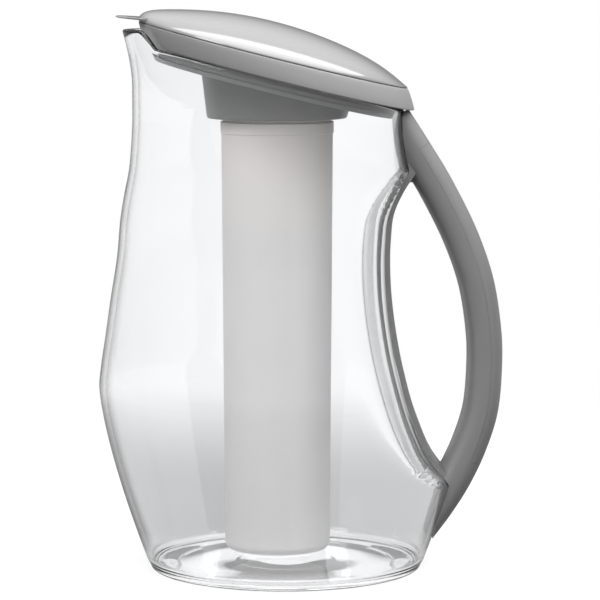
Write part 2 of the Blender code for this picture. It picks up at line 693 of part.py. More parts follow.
def make_lid_base(material):
    """The tray under the cover: floor, outer band and the skirt that plugs the neck."""
    floor_top = RIM_HEIGHT + FIT_GAP + LID_FLOOR
    bottom = RIM_HEIGHT + FIT_GAP
    band_top = bottom + BAND_HEIGHT
    skirt_bottom = bottom - SKIRT_HEIGHT
    skirt_in = SKIRT_RADIUS - SKIRT_WALL
    seat_top = bottom - GASKET_TOP
    seat_bottom = seat_top - GASKET_HEIGHT
    seat_radius = SKIRT_RADIUS - GASKET_SEAT_DEPTH
    rings = [
        plan_ring(TUBE_AXIS_OFFSET, SOCKET_BORE, bottom),
        plan_ring(SKIRT_OFFSET, skirt_in, bottom),
        plan_ring(SKIRT_OFFSET, skirt_in - SKIRT_DRAFT, skirt_bottom),
        plan_ring(SKIRT_OFFSET, SKIRT_RADIUS - SKIRT_DRAFT, skirt_bottom),
        plan_ring(SKIRT_OFFSET, SKIRT_RADIUS - SKIRT_DRAFT / 4, seat_bottom),
        plan_ring(SKIRT_OFFSET, seat_radius, seat_bottom),
        plan_ring(SKIRT_OFFSET, seat_radius, seat_top),
        plan_ring(SKIRT_OFFSET, SKIRT_RADIUS, seat_top),
        plan_ring(SKIRT_OFFSET, SKIRT_RADIUS, bottom),
        plan_ring(band_offset(bottom), BAND_RADIUS - BAND_ROUND, bottom),
        plan_ring(band_offset(bottom + BAND_ROUND), BAND_RADIUS, bottom + BAND_ROUND),
        plan_ring(band_offset(band_top), BAND_RADIUS, band_top),
        plan_ring(band_offset(band_top), BAND_RADIUS - BAND_WALL, band_top),
        plan_ring(band_offset(floor_top), BAND_RADIUS - BAND_WALL, floor_top),
        plan_ring(TUBE_AXIS_OFFSET, SOCKET_BORE, floor_top),
    ]
    base = new_object("lid_base", loft(rings, True, True), material)
    for index in range(LOCK_COUNT):
        seat = socket_screw_seat(index)
        way = rod(seat - RIM_NORMAL * CUT_OVERRUN, seat + RIM_NORMAL * CUT_OVERRUN, SCREW_RADIUS + FIT_GAP)
        cutter = new_object(f"lid_base_hole_{index + 1}", way, None)
        add_boolean(base, mark_as_cutter(cutter), "DIFFERENCE")
    return base


def socket_screw_seat(index):
    """Where the head of a socket screw sits on the lid's floor."""
    angle = math.pi / 2 + 2 * math.pi * index / LOCK_COUNT
    x = -TUBE_AXIS_OFFSET + SOCKET_SCREW_CIRCLE * math.cos(angle)
    y = SOCKET_SCREW_CIRCLE * math.sin(angle)
    return Vector((x, y, rim_plane(x) + FIT_GAP + LID_FLOOR))


def make_gasket(material):
    """The soft ring round the skirt, with a rounded lip towards the neck's wall."""
    top = RIM_HEIGHT + FIT_GAP - GASKET_TOP - FIT_GAP
    bottom = top - GASKET_HEIGHT + 2 * FIT_GAP
    inner = SKIRT_RADIUS - GASKET_SEAT_DEPTH + FIT_GAP
    outer = SKIRT_RADIUS + GASKET_PROUD
    lip = (outer - inner) / 3
    rings = [
        plan_ring(SKIRT_OFFSET, inner, bottom),
        plan_ring(SKIRT_OFFSET, outer - lip, bottom),
        plan_ring(SKIRT_OFFSET, outer, (bottom + top) / 2),
        plan_ring(SKIRT_OFFSET, outer - lip, top),
        plan_ring(SKIRT_OFFSET, inner, top),
    ]
    return new_object("lid_gasket", loft(rings, close_loop=True), material)


def cover_height(share, along, edge_cut=0.0):
    """Rise of the cover over its rim, at a share of its radius and a share along the pitcher."""
    edge = COVER_EDGE - (COVER_EDGE - COVER_BACK_EDGE) * along ** COVER_LEAN_POWER
    shoulder = math.sqrt(max(1.0 - share ** COVER_SHOULDER_POWER, 0.0))
    return edge * shoulder + (COVER_CROWN - edge_cut) * (1.0 - share * share)


def cover_ring(share, radius, base_height, edge_cut):
    """One ring of the cover's skin."""
    ring = plan_ring(BAND_TOP_OFFSET, radius * share, base_height)
    for point in ring:
        along = (point.x + BAND_TOP_OFFSET) / BAND_RADIUS
        point.z += cover_height(share, along, edge_cut)
    return ring


def make_lid_cover(material):
    """The domed cover that clips into the band."""
    seat = RIM_HEIGHT + FIT_GAP + BAND_HEIGHT + FIT_GAP
    edge_shares = (1.0, 0.985, 0.95, 0.88, 0.76, 0.58, 0.38, 0.16)
    inner_radius = BAND_RADIUS - COVER_WALL
    tongue_out = BAND_RADIUS - BAND_WALL - FIT_GAP
    tongue_in = tongue_out - COVER_TONGUE_WALL
    tongue_bottom = seat - COVER_TONGUE_HEIGHT
    outside = [cover_ring(share, BAND_RADIUS, seat, 0.0) for share in edge_shares]
    inside = [cover_ring(share, inner_radius, seat, COVER_WALL) for share in edge_shares[2:]]
    tongue = [
        plan_ring(band_offset(seat), tongue_out, seat),
        plan_ring(band_offset(tongue_bottom), tongue_out, tongue_bottom),
        plan_ring(band_offset(tongue_bottom), tongue_in, tongue_bottom),
        plan_ring(band_offset(seat), tongue_in, seat),
    ]
    rings = inside[::-1] + tongue[::-1] + outside
    cover = new_object("lid_cover", loft(rings, True, True), material)
    add_boolean(cover, mark_as_cutter(new_object("lid_visor", visor_mesh(seat), None)), "UNION")
    return cover


def visor_mesh(seat):
    """A thin plate that reaches out from the front of the cover, broad at its root and round at its tip."""
    front = -BAND_TOP_OFFSET - BAND_RADIUS
    root_height = seat + VISOR_RISE - RIM_SLOPE * (front + NECK_OFFSET)
    rings = []
    for index in range(VISOR_STEPS + 1):
        aside = 2.0 * index / VISOR_STEPS - 1.0
        angle = math.pi + VISOR_HALF_ANGLE * aside
        reach = VISOR_REACH * math.cos(math.pi / 2 * aside) ** VISOR_POWER if abs(aside) < 1.0 else 0.0
        corners = []
        for radius in (BAND_RADIUS - VISOR_ROOT, BAND_RADIUS + reach):
            x = radius * math.cos(angle) - BAND_TOP_OFFSET
            corners.append(Vector((x, radius * math.sin(angle), root_height - math.tan(VISOR_TILT) * (x - front))))
        top = Vector((0.0, 0.0, VISOR_THICKNESS))
        rings.append([corners[0], corners[1], corners[1] + top, corners[0] + top])
    return loft(rings, True, True)


def lock_piece(inner, outer, bottom, thickness, start):
    """One ramp of the turn lock: a short arc that climbs with the lock's lead."""
    steps = 8
    rings = []
    for index in range(steps + 1):
        turn = LOCK_SPAN * index / steps
        angle = start + turn
        rise = bottom + LOCK_LEAD * turn / (2 * math.pi)
        out = Vector((math.cos(angle), math.sin(angle), 0.0))
        lift = Vector((0.0, 0.0, rise))
        top = Vector((0.0, 0.0, rise + thickness))
        inner_point = TUBE_AXIS + out * inner
        outer_point = TUBE_AXIS + out * outer
        rings.append([inner_point + lift, outer_point + lift, outer_point + top, inner_point + top])
    return loft(rings, True, True)


def make_socket(material):
    """The collar under the lid that the tube turns into."""
    top = RIM_HEIGHT - FIT_GAP
    bottom = SOCKET_BOTTOM_HEIGHT
    bore_round = SOCKET_BORE + SOCKET_ROUND / 2
    rings = [
        plan_ring(TUBE_AXIS_OFFSET, SOCKET_BORE, bottom + SOCKET_ROUND, 0.0),
        plan_ring(TUBE_AXIS_OFFSET, bore_round, bottom, 0.0),
        plan_ring(TUBE_AXIS_OFFSET, SOCKET_BOTTOM_RADIUS - SOCKET_ROUND, bottom, 0.0),
        plan_ring(TUBE_AXIS_OFFSET, SOCKET_BOTTOM_RADIUS, bottom + SOCKET_ROUND, 0.0),
        plan_ring(TUBE_AXIS_OFFSET, SOCKET_TOP_RADIUS, top),
        plan_ring(TUBE_AXIS_OFFSET, SOCKET_BORE, top),
    ]
    socket = new_object("tube_socket", loft(rings, close_loop=True), material)
    middle = (SOCKET_BORE + SOCKET_BOTTOM_RADIUS) / 2
    for index in range(LOCK_COUNT):
        start = LOCK_START + 2 * math.pi * index / LOCK_COUNT
        ledge = lock_piece(LEDGE_RADIUS, middle, LEDGE_HEIGHT, LEDGE_THICKNESS, start)
        cutter = new_object(f"tube_socket_ledge_{index + 1}", ledge, None)
        add_boolean(socket, mark_as_cutter(cutter), "UNION")
        seat = socket_screw_seat(index)
        deep = seat - RIM_NORMAL * (SOCKET_SCREW_LENGTH + FIT_GAP)
        pilot = rod(deep, seat, SCREW_RADIUS + SCREW_CLEARANCE)
        hole = new_object(f"tube_socket_pilot_{index + 1}", pilot, None)
        add_boolean(socket, mark_as_cutter(hole), "DIFFERENCE")
    return socket


def make_ice_tube(material):
    """The frosted cup that holds the ice, with the lock's lugs round its mouth."""
    corner = TUBE_CORNER
    seat_half = SEAL_SECTION_RADIUS + FIT_GAP
    seat_radius = TUBE_NECK_RADIUS - SEAL_SEAT_DEPTH
    ring_radius = TUBE_TOP_RADIUS + TUBE_RING_STEP
    bore_top = TUBE_NECK_RADIUS - TUBE_WALL
    seat_wall = seat_radius - TUBE_WALL * 0.7
    bottom_inside = TUBE_BOTTOM_RADIUS - TUBE_WALL
    inside_floor = TUBE_BOTTOM_HEIGHT + TUBE_FLOOR
    profile = [
        (TUBE_BOTTOM_RADIUS / 2, TUBE_BOTTOM_HEIGHT),
        (TUBE_BOTTOM_RADIUS - corner, TUBE_BOTTOM_HEIGHT),
        (TUBE_BOTTOM_RADIUS - corner * 0.5, TUBE_BOTTOM_HEIGHT + corner * 0.134),
        (TUBE_BOTTOM_RADIUS - corner * 0.134, TUBE_BOTTOM_HEIGHT + corner * 0.5),
        (TUBE_BOTTOM_RADIUS, TUBE_BOTTOM_HEIGHT + corner),
        (TUBE_TOP_RADIUS, TUBE_RING_START),
        (ring_radius, TUBE_RING_START + TUBE_RING_STEP),
        (ring_radius, TUBE_SHOULDER_HEIGHT),
        (TUBE_NECK_RADIUS, TUBE_SHOULDER_HEIGHT + TUBE_RING_STEP),
        (TUBE_NECK_RADIUS, SEAL_HEIGHT - seat_half),
        (seat_radius, SEAL_HEIGHT - seat_half),
        (seat_radius, SEAL_HEIGHT + seat_half),
        (TUBE_NECK_RADIUS, SEAL_HEIGHT + seat_half),
        (TUBE_NECK_RADIUS, TUBE_TOP_HEIGHT - TUBE_RING_STEP),
        (TUBE_NECK_RADIUS - TUBE_RING_STEP, TUBE_TOP_HEIGHT),
        (seat_wall, TUBE_TOP_HEIGHT),
        (seat_wall, TUBE_RING_START),
        (min(bore_top, seat_wall + TUBE_RING_STEP), TUBE_RING_START - TUBE_CORNER),
        (bottom_inside, inside_floor + corner),
        (bottom_inside - corner * 0.3, inside_floor + corner * 0.3),
        (bottom_inside - corner, inside_floor),
        (bottom_inside / 2, inside_floor),
    ]
    tube = new_object("ice_tube", turned(profile), material)
    lug_root = TUBE_NECK_RADIUS - TUBE_WALL / 3
    lug_bottom = LEDGE_HEIGHT + LEDGE_THICKNESS + FIT_GAP
    for index in range(LOCK_COUNT):
        start = LOCK_START + 2 * math.pi * index / LOCK_COUNT
        lug = lock_piece(lug_root, LUG_RADIUS, lug_bottom, LUG_THICKNESS, start)
        cutter = new_object(f"ice_tube_lug_{index + 1}", lug, None)
        add_boolean(tube, mark_as_cutter(cutter), "UNION")
    return tube


def make_seal(material):
    """The seal ring in the tube's neck."""
    profile = []
    for index in range(SEAL_SEGMENTS):
        angle = 2 * math.pi * index / SEAL_SEGMENTS
        radius = SEAL_MIDDLE_RADIUS + SEAL_SECTION_RADIUS * math.cos(angle)
        profile.append((radius, SEAL_HEIGHT + SEAL_SECTION_RADIUS * math.sin(angle)))
    return new_object("tube_seal_ring", turned(profile, close_loop=True), material)


def carry(name, items, location=(0.0, 0.0, 0.0)):
    """Gather pieces that move together under an empty on their joint's axis."""
    holder = bpy.data.objects.new(name, None)
    bpy.context.scene.collection.objects.link(holder)
    holder.location = location
    shift = Matrix.Translation(location).inverted()
    for item in items:
        item.parent = holder
        item.matrix_parent_inverse = shift
    return holder


def build():
    """Make every piece of the pitcher and hang it on what it moves with."""
    clear_scene()
    clear = make_material("clear_acrylic", (0.90, 0.91, 0.92), 0.05)
    frosted = make_material("frosted_acrylic", (0.80, 0.79, 0.77), 0.45)
    light_grey = make_material("light_grey_gloss", (0.48, 0.48, 0.48), 0.20)
    mid_grey = make_material("mid_grey_plastic", (0.30, 0.30, 0.31), 0.35)
    handle_grey = make_material("handle_grey_plastic", (0.24, 0.24, 0.25), 0.35)
    dark_grey = make_material("dark_grey_rubber", (0.09, 0.09, 0.10), 0.60)
    seal_grey = make_material("pale_grey_rubber", (0.35, 0.35, 0.35), 0.55)
    steel = make_material("screw_steel", (0.60, 0.60, 0.60), 0.30, 1.0)

    make_vessel(clear)
    make_handle(handle_grey, handle_grey)
    handle_seat = boss_face() + Vector((HANDLE_SEAT_THICKNESS + FIT_GAP, 0.0, 0.0))
    make_screw("handle_screw", HANDLE_SCREW_LENGTH, handle_seat, Vector((-1.0, 0.0, 0.0)), steel)

    lid_pieces = [make_lid_base(mid_grey), make_lid_cover(light_grey), make_gasket(dark_grey)]
    lid_pieces.append(make_socket(mid_grey))
    for index in range(LOCK_COUNT):
        seat = socket_screw_seat(index) + RIM_NORMAL * FIT_GAP
        name = f"socket_screw_{index + 1}"
        lid_pieces.append(make_screw(name, SOCKET_SCREW_LENGTH, seat, -RIM_NORMAL, steel))
    tube = make_ice_tube(frosted)
    seal = make_seal(seal_grey)

    lid_carrier = carry("lid_lift_axis", lid_pieces, TUBE_AXIS)
    seal_carrier = carry("tube_drop_axis", [seal], TUBE_AXIS)
    tube_carrier = carry("tube_turn_axis", [tube], TUBE_AXIS)
    seal_carrier.parent = lid_carrier
    seal_carrier.matrix_parent_inverse = Matrix.Translation(TUBE_AXIS).inverted()
    tube_carrier.parent = seal_carrier
    tube_carrier.matrix_parent_inverse = Matrix.Translation(TUBE_AXIS).inverted()
    bpy.context.view_layer.update()


build()
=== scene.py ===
# %% [markdown]
# # A clear ice pitcher
# The pitcher has a clear body, a sloping grey lid, a frosted ice tube that hangs from the lid, and
# a grey loop handle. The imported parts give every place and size, and this lesson dresses them: a
# finer mesh for each shape that catches light, and a material for each plastic, rubber and steel.

import bisect
import functools
import json
import math

import bmesh
import bpy
import numpy as np
from mathutils import Matrix, Quaternion, Vector

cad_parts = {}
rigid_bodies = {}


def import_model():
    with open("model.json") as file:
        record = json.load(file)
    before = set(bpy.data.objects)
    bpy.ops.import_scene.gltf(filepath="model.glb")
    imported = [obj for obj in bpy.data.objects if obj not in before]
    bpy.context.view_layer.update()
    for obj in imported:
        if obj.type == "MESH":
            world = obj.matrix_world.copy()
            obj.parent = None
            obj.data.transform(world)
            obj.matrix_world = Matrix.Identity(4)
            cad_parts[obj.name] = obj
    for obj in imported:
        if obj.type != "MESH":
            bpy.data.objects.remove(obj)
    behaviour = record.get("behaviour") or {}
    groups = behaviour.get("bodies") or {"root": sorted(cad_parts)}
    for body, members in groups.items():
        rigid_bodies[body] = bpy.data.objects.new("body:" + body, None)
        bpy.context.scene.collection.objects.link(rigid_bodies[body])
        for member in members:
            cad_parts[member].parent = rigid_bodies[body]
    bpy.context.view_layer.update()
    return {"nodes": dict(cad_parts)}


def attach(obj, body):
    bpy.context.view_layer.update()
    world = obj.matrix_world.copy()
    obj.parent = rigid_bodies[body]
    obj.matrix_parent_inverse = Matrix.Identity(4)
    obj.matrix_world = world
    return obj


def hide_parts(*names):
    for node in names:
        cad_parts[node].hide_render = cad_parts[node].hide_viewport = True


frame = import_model()
print("packed parts:", sorted(frame["nodes"]))

# %% [markdown]
# ## Shared sizes
# The clear body is a free curve, so no single radius describes it. Its outline is kept as a few
# named sizes and short tables of shares, read as smooth curves. The same numbers shape the body,
# the hollow behind it that the fingers go into, and the grey liner that lies in that hollow.

# %% Sizes of the body, in metres
FIT = 0.0003
BASE_RADIUS = 0.0624
BELLY_RADIUS = 0.0856
BELLY_HEIGHT = 0.0840
NECK_RADIUS = 0.0590
NECK_HEIGHT = 0.2050
NECK_OFFSET = 0.0050
CHANNEL_DEPTH = 0.0057
RIM_HEIGHT = 0.2255
RIM_SLOPE = math.tan(math.radians(14.0))
SPOUT_FLARE = 0.0070
SPOUT_START = 0.2220
SPOUT_END = 0.2545
LIP_HEIGHT = 0.24678
LIP_FULL = math.radians(22.0)
LIP_END = math.radians(33.0)
SCOOP_BOTTOM = 0.0390
SCOOP_TOP = 0.1880
SCOOP_REACH = 0.0445
SCOOP_SPREAD = 0.0305
SCOOP_CORNER = 0.0240
BELLY_CURVE = 1.4
CHANNEL_CURVE = 5
FLARE_CURVE = 1.6
CORNER_SHARE = 0.6
WALL = 0.0028
FLOOR = 0.0030
FLOOR_CORNER = 0.0035
FOOT_ROUND = 0.0014
TURN = 2 * math.pi

# %% Smooth curves through short tables
def smooth_step(value):
    """Run from 0 to 1 with level ends."""
    value = min(max(value, 0.0), 1.0)
    return value * value * (3.0 - 2.0 * value)


def curve_through(knots, values):
    """Give a function that reads a smooth curve through a table, straight beyond its ends."""
    slopes = np.gradient(np.array(values), np.array(knots)).tolist()

    def read(place):
        if place <= knots[0]:
            return values[0] + slopes[0] * (place - knots[0])
        if place >= knots[-1]:
            return values[-1] + slopes[-1] * (place - knots[-1])
        step = bisect.bisect_right(knots, place) - 1
        width = knots[step + 1] - knots[step]
        t = (place - knots[step]) / width
        level = (1 + 2 * t) * (1 - t) ** 2 * values[step] + t * t * (3 - 2 * t) * values[step + 1]
        lean = t * (1 - t) ** 2 * slopes[step] - t * t * (1 - t) * slopes[step + 1]
        return level + width * lean

    return read


front_draw = curve_through(
    (-0.09, 0.0, 0.09, 0.18, 0.32, 0.50, 0.64, 0.73, 0.82, 0.90, 1.0),
    (0.07, 0.0, 0.07, 0.175, 0.33, 0.545, 0.645, 0.76, 0.895, 0.955, 1.0),
)
scoop_spread = curve_through(
    (-0.06, 0.0, 0.07, 0.19, 0.34, 0.49, 0.64, 0.76, 0.84, 0.90, 0.96, 1.0, 1.12),
    (1.32, 1.0, 0.71, 0.435, 0.22, 0.075, 0.0, 0.005, 0.055, 0.185, 0.37, 0.485, 0.92),
)

# %% The skin of the body
@functools.lru_cache(maxsize=None)
def front_reach(height):
    """How far the body's front stands from the middle of the base."""
    if height <= BELLY_HEIGHT:
        rise = 1.0 - max(height, 0.0) / BELLY_HEIGHT
        return BASE_RADIUS + (BELLY_RADIUS - BASE_RADIUS) * (1.0 - rise**BELLY_CURVE)
    rise = min((height - BELLY_HEIGHT) / (NECK_HEIGHT - BELLY_HEIGHT), 1.0)
    neck_front = NECK_RADIUS + NECK_OFFSET + CHANNEL_DEPTH
    return BELLY_RADIUS - (BELLY_RADIUS - neck_front) * front_draw(rise)


@functools.lru_cache(maxsize=None)
def scoop_reach(height):
    """How far the wall of the finger hollow stands from the middle of the base."""
    share = (height - SCOOP_BOTTOM) / (SCOOP_TOP - SCOOP_BOTTOM)
    return SCOOP_REACH + SCOOP_SPREAD * scoop_spread(share)


def skin_point(angle, height, grow=0.0):
    """A point of the body's skin, moved out by grow, at an angle from the handle's side."""
    neck = smooth_step((height - BELLY_HEIGHT) / (NECK_HEIGHT - BELLY_HEIGHT))
    flare = max((height - SPOUT_START) / (SPOUT_END - SPOUT_START), 0.0) ** FLARE_CURVE
    offset = NECK_OFFSET * neck
    side = front_reach(height) - offset - CHANNEL_DEPTH * neck
    facing = max(-math.cos(angle), 0.0)
    draw = CHANNEL_DEPTH * neck + SPOUT_FLARE * flare
    radius = side + grow + draw * facing**CHANNEL_CURVE
    x = radius * math.cos(angle) - offset
    wall_at = scoop_reach(height) + grow
    corner = min(max(CORNER_SHARE * (side - offset - scoop_reach(height)), FIT), SCOOP_CORNER)
    overlap = max(corner - abs(x - wall_at), 0.0) / corner
    x = min(x, wall_at) - overlap * overlap * corner / 4
    return Vector((x, radius * math.sin(angle), height))


def rim_plane(x):
    """Height of the sloping rim over a place along the pitcher."""
    return RIM_HEIGHT - RIM_SLOPE * (x + NECK_OFFSET)


@functools.lru_cache(maxsize=None)
def rim_level(angle, grow):
    """Height of a skin's rim, with the raised and level lip of the spout.

    The rim's height depends on how far out the skin is there, and that depends on the height, so
    a few rounds settle both.
    """
    level = RIM_HEIGHT
    lift = smooth_step((LIP_END - abs(math.pi - angle)) / (LIP_END - LIP_FULL))
    for _ in range(6):
        plane = rim_plane(skin_point(angle, level, grow).x)
        level = plane + (LIP_HEIGHT - plane) * lift
    return level


rim_heights = [round(rim_level(angle, 0.0), 4) for angle in (math.pi, 0.0)]
print("rim at the spout and at the handle:", rim_heights)

# %% [markdown]
# ## Rolling a sheet into a shape
# Every main piece here is a closed skin that passes through a row of rings. A flat grid from
# `bmesh.ops.create_grid` already has the right rows and columns, so it's rolled up: each row of the
# grid becomes one ring, the two long sides meet and merge, and the open ends are filled.

# %% Roll a grid through rings
def rolled(rings, around=192, loop=False):
    """Roll a grid into a skin. Each ring is a function from an angle to a point."""
    rows = list(rings) + [rings[0]] if loop else list(rings)
    mesh = bmesh.new()
    bmesh.ops.create_grid(mesh, x_segments=around, y_segments=len(rows) - 1, size=1.0)
    for vert in mesh.verts:
        column = round((vert.co.x + 1.0) / 2.0 * around) % around
        row = round((vert.co.y + 1.0) / 2.0 * (len(rows) - 1))
        vert.co = rows[row](TURN * column / around)
    bmesh.ops.remove_doubles(mesh, verts=mesh.verts, dist=1e-7)
    if not loop:
        bmesh.ops.holes_fill(mesh, edges=[edge for edge in mesh.edges if edge.is_boundary], sides=0)
    bmesh.ops.recalc_face_normals(mesh, faces=mesh.faces)
    return mesh


def level_ring(radius, height, x=0.0):
    """A level circle, as a ring for rolled."""
    return lambda angle: Vector((x + radius * math.cos(angle), radius * math.sin(angle), height))


def sloped_ring(offset, radius, height, share=1.0):
    """A circle seen from above that lies in a plane that slopes as the rim does, or less."""

    def ring(angle):
        x = -offset + radius * math.cos(angle)
        return Vector((x, radius * math.sin(angle), height - share * RIM_SLOPE * (x + NECK_OFFSET)))

    return ring


def quarter(steps):
    """Pairs that run a quarter turn, as (1 - cos, sin), for rounding an edge."""
    turns = [math.pi / 2 * step / steps for step in range(steps + 1)]
    return [(1.0 - math.cos(turn), math.sin(turn)) for turn in turns]

# %% Turn a mesh into a piece of the pitcher
def make_piece(name, mesh, finish, body, nodes, crease=32.0):
    """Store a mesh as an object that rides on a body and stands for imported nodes."""
    data = bpy.data.meshes.new(name)
    mesh.to_mesh(data)
    mesh.free()
    data.shade_smooth()
    data.set_sharp_from_angle(angle=math.radians(crease))
    data.materials.append(finish)
    piece = bpy.data.objects.new(name, data)
    bpy.context.scene.collection.objects.link(piece)
    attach(piece, body)
    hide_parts(*nodes)
    print(name, "has", len(data.polygons), "faces")
    return piece


def carved(mesh, steps):
    """Apply Boolean steps, each an operation and a tool mesh, and return the new mesh."""
    things = []
    for part in [mesh] + [tool for _, tool in steps]:
        data = bpy.data.meshes.new("carving")
        part.to_mesh(data)
        part.free()
        things.append(bpy.data.objects.new("carving", data))
        bpy.context.scene.collection.objects.link(things[-1])
    for (operation, _), tool in zip(steps, things[1:]):
        step = things[0].modifiers.new("carve", "BOOLEAN")
        step.operation = operation
        step.solver = "EXACT"
        step.object = tool
    evaluated = things[0].evaluated_get(bpy.context.evaluated_depsgraph_get())
    result = bmesh.new()
    result.from_mesh(evaluated.to_mesh())
    evaluated.to_mesh_clear()
    for thing in things:
        data = thing.data
        bpy.data.objects.remove(thing)
        bpy.data.meshes.remove(data)
    return result

# %% [markdown]
# ## Writing materials as sums
# A node tree is quicker to read as arithmetic. One small class wraps a socket, so that `1 - mask`
# or `base + 0.1 * grain` adds the Math nodes. Every other node comes from one method.

# %% Shader maths
class Signal:
    """A number on one socket of a material, with arithmetic."""

    def __init__(self, tree, socket):
        self.tree = tree
        self.socket = socket

    def joined(self, operation, first, second):
        made = self.tree.nodes.new("ShaderNodeMath")
        made.operation = operation
        for socket, value in zip(made.inputs, (first, second)):
            if isinstance(value, Signal):
                self.tree.links.new(value.socket, socket)
            else:
                socket.default_value = value
        return Signal(self.tree, made.outputs[0])

    def __add__(self, other):
        return self.joined("ADD", self, other)

    def __sub__(self, other):
        return self.joined("SUBTRACT", self, other)

    def __rsub__(self, other):
        return self.joined("SUBTRACT", other, self)

    def __mul__(self, other):
        return self.joined("MULTIPLY", self, other)

    __radd__ = __add__
    __rmul__ = __mul__


class Nodes:
    """A node tree in the making."""

    def __init__(self, tree, output):
        self.tree = tree
        self.output = tree.nodes[output]

    def node(self, kind, settings=None, inputs=None):
        """Add a node: its settings first, then the values or links of its sockets."""
        made = self.tree.nodes.new(kind)
        for name, value in (settings or {}).items():
            setattr(made, name, value)
        self.feed(made, inputs or {})
        return made

    def feed(self, made, inputs):
        """Set or link sockets by name or number."""
        for name, value in inputs.items():
            if isinstance(value, Signal):
                value = value.socket
            if isinstance(value, bpy.types.NodeSocket):
                self.tree.links.new(value, made.inputs[name])
            else:
                made.inputs[name].default_value = value

    def signal(self, made, output=0):
        """One output of a node, ready for sums."""
        return Signal(self.tree, made.outputs[output])

    def looked_at(self, mirrored_share=1.0):
        """1 for rays that show the background itself, through clear walls or in a mirror."""
        path = self.node("ShaderNodeLightPath")
        mirrored = mirrored_share * self.signal(path, "Is Glossy Ray")
        direct = mirrored.joined("MAXIMUM", mirrored, self.signal(path, "Is Transmission Ray"))
        scattered = self.signal(path, "Diffuse Depth")
        return direct * scattered.joined("LESS_THAN", scattered, 0.5)

    def eased(self, value, low, high):
        """Run smoothly from 0 where value is low to 1 where it is high."""
        settings = {"interpolation_type": "SMOOTHSTEP"}
        return self.signal(self.node("ShaderNodeMapRange", settings, {0: value, 1: low, 2: high}))

    def blended(self, share, first, second):
        """Blend two shaders."""
        sockets = {0: share, 1: first.outputs[0], 2: second.outputs[0]}
        return self.node("ShaderNodeMixShader", inputs=sockets)


class Finish(Nodes):
    """A material in the making."""

    def __init__(self, name):
        self.material = bpy.data.materials.new(name)
        self.material.use_nodes = True
        super().__init__(self.material.node_tree, "Material Output")
        self.shader = self.tree.nodes["Principled BSDF"]

    def place(self, scale=1.0):
        """Object coordinates, scaled about the middle of the base."""
        where = self.node("ShaderNodeTexCoord").outputs["Object"]
        inputs = {"Vector": where, "Scale": (scale,) * 3}
        return self.node("ShaderNodeMapping", inputs=inputs).outputs["Vector"]

    def grain(self, scale, detail=3.0):
        """Cloudy noise from 0 to 1, with its cells 1/scale of a metre across."""
        inputs = {"Vector": self.place(scale), "Scale": 1.0, "Detail": detail}
        return self.signal(self.node("ShaderNodeTexNoise", inputs=inputs), "Fac")

    def along(self, axis):
        """One coordinate of a point, in metres."""
        apart = self.node("ShaderNodeSeparateXYZ", inputs={"Vector": self.place()})
        return self.signal(apart, axis)

    def mixed(self, share, first, second):
        """Blend two colours."""
        sockets = {0: share, 6: first, 7: second}
        return self.node("ShaderNodeMix", {"data_type": "RGBA"}, sockets).outputs[2]

    def bumped(self, height, depth):
        """A normal from a height signal, with its full range depth metres deep."""
        inputs = {"Height": height, "Distance": depth, "Strength": 1.0}
        return self.node("ShaderNodeBump", inputs=inputs).outputs["Normal"]


def grey(level, warmth=0.0):
    """A linear grey from a display level of 0 to 255, a little warm or cool."""
    share = level / 255.0
    linear = ((share + 0.055) / 1.055) ** 2.4
    return (linear * (1.0 + warmth), linear, linear * (1.0 - warmth), 1.0)

# %% [markdown]
# ## Satin grey plastic
# The handle, the lid's tray and the collar are a satin grey plastic, from a mould with a very fine
# spark texture. A roughness alone would make their highlights soft. A fine noise in the roughness
# and a bump of a fraction of a hair's width also break them up a little, as real satin plastic
# does, and a coarse noise varies the grey by a percent or two, as pigment does.

# %% Satin grey plastic
def satin_plastic(name, level, roughness):
    """Moulded plastic with a fine spark texture."""
    finish = Finish(name)
    clouds = finish.grain(38.0, 2.0)
    sparks = finish.grain(2600.0, 2.0)
    inputs = {
        "Base Color": finish.mixed(clouds, grey(level - 3), grey(level + 3)),
        "Roughness": roughness - 0.04 + 0.05 * clouds + 0.04 * sparks,
        "Normal": finish.bumped(sparks, 0.000025),
        "IOR": 1.5,
    }
    finish.feed(finish.shader, inputs)
    return finish.material


handle_grey = satin_plastic("handle_grey", 129, 0.34)
tray_grey = satin_plastic("tray_grey", 156, 0.38)
collar_grey = satin_plastic("collar_grey", 136, 0.42)

# %% [markdown]
# ## Polished grey plastic
# The lid's cover comes from a polished mould, so it shows a hard band of light where it mirrors the
# lamp above. One glossy layer would do for a weak band. A clear coat over a slightly rough grey
# gives the bright band and keeps the soft shading under it. Moulding leaves faint waves, which a
# bump of a few hundredths of a millimetre gives.

# %% Polished grey plastic
def polished_plastic(name, level, roughness):
    """Plastic from a polished mould, with the faint waves that moulding leaves."""
    finish = Finish(name)
    waves = finish.grain(30.0, 1.0)
    dust = finish.grain(900.0, 3.0)
    inputs = {
        "Base Color": finish.mixed(waves, grey(level - 2), grey(level + 2)),
        "Roughness": roughness + 0.05 * dust,
        "Normal": finish.bumped(waves, 0.00006),
        "IOR": 1.5,
        "Coat Weight": 1.0,
        "Coat Roughness": 0.06,
    }
    finish.feed(finish.shader, inputs)
    return finish.material


dome_grey = polished_plastic("dome_grey", 131, 0.16)
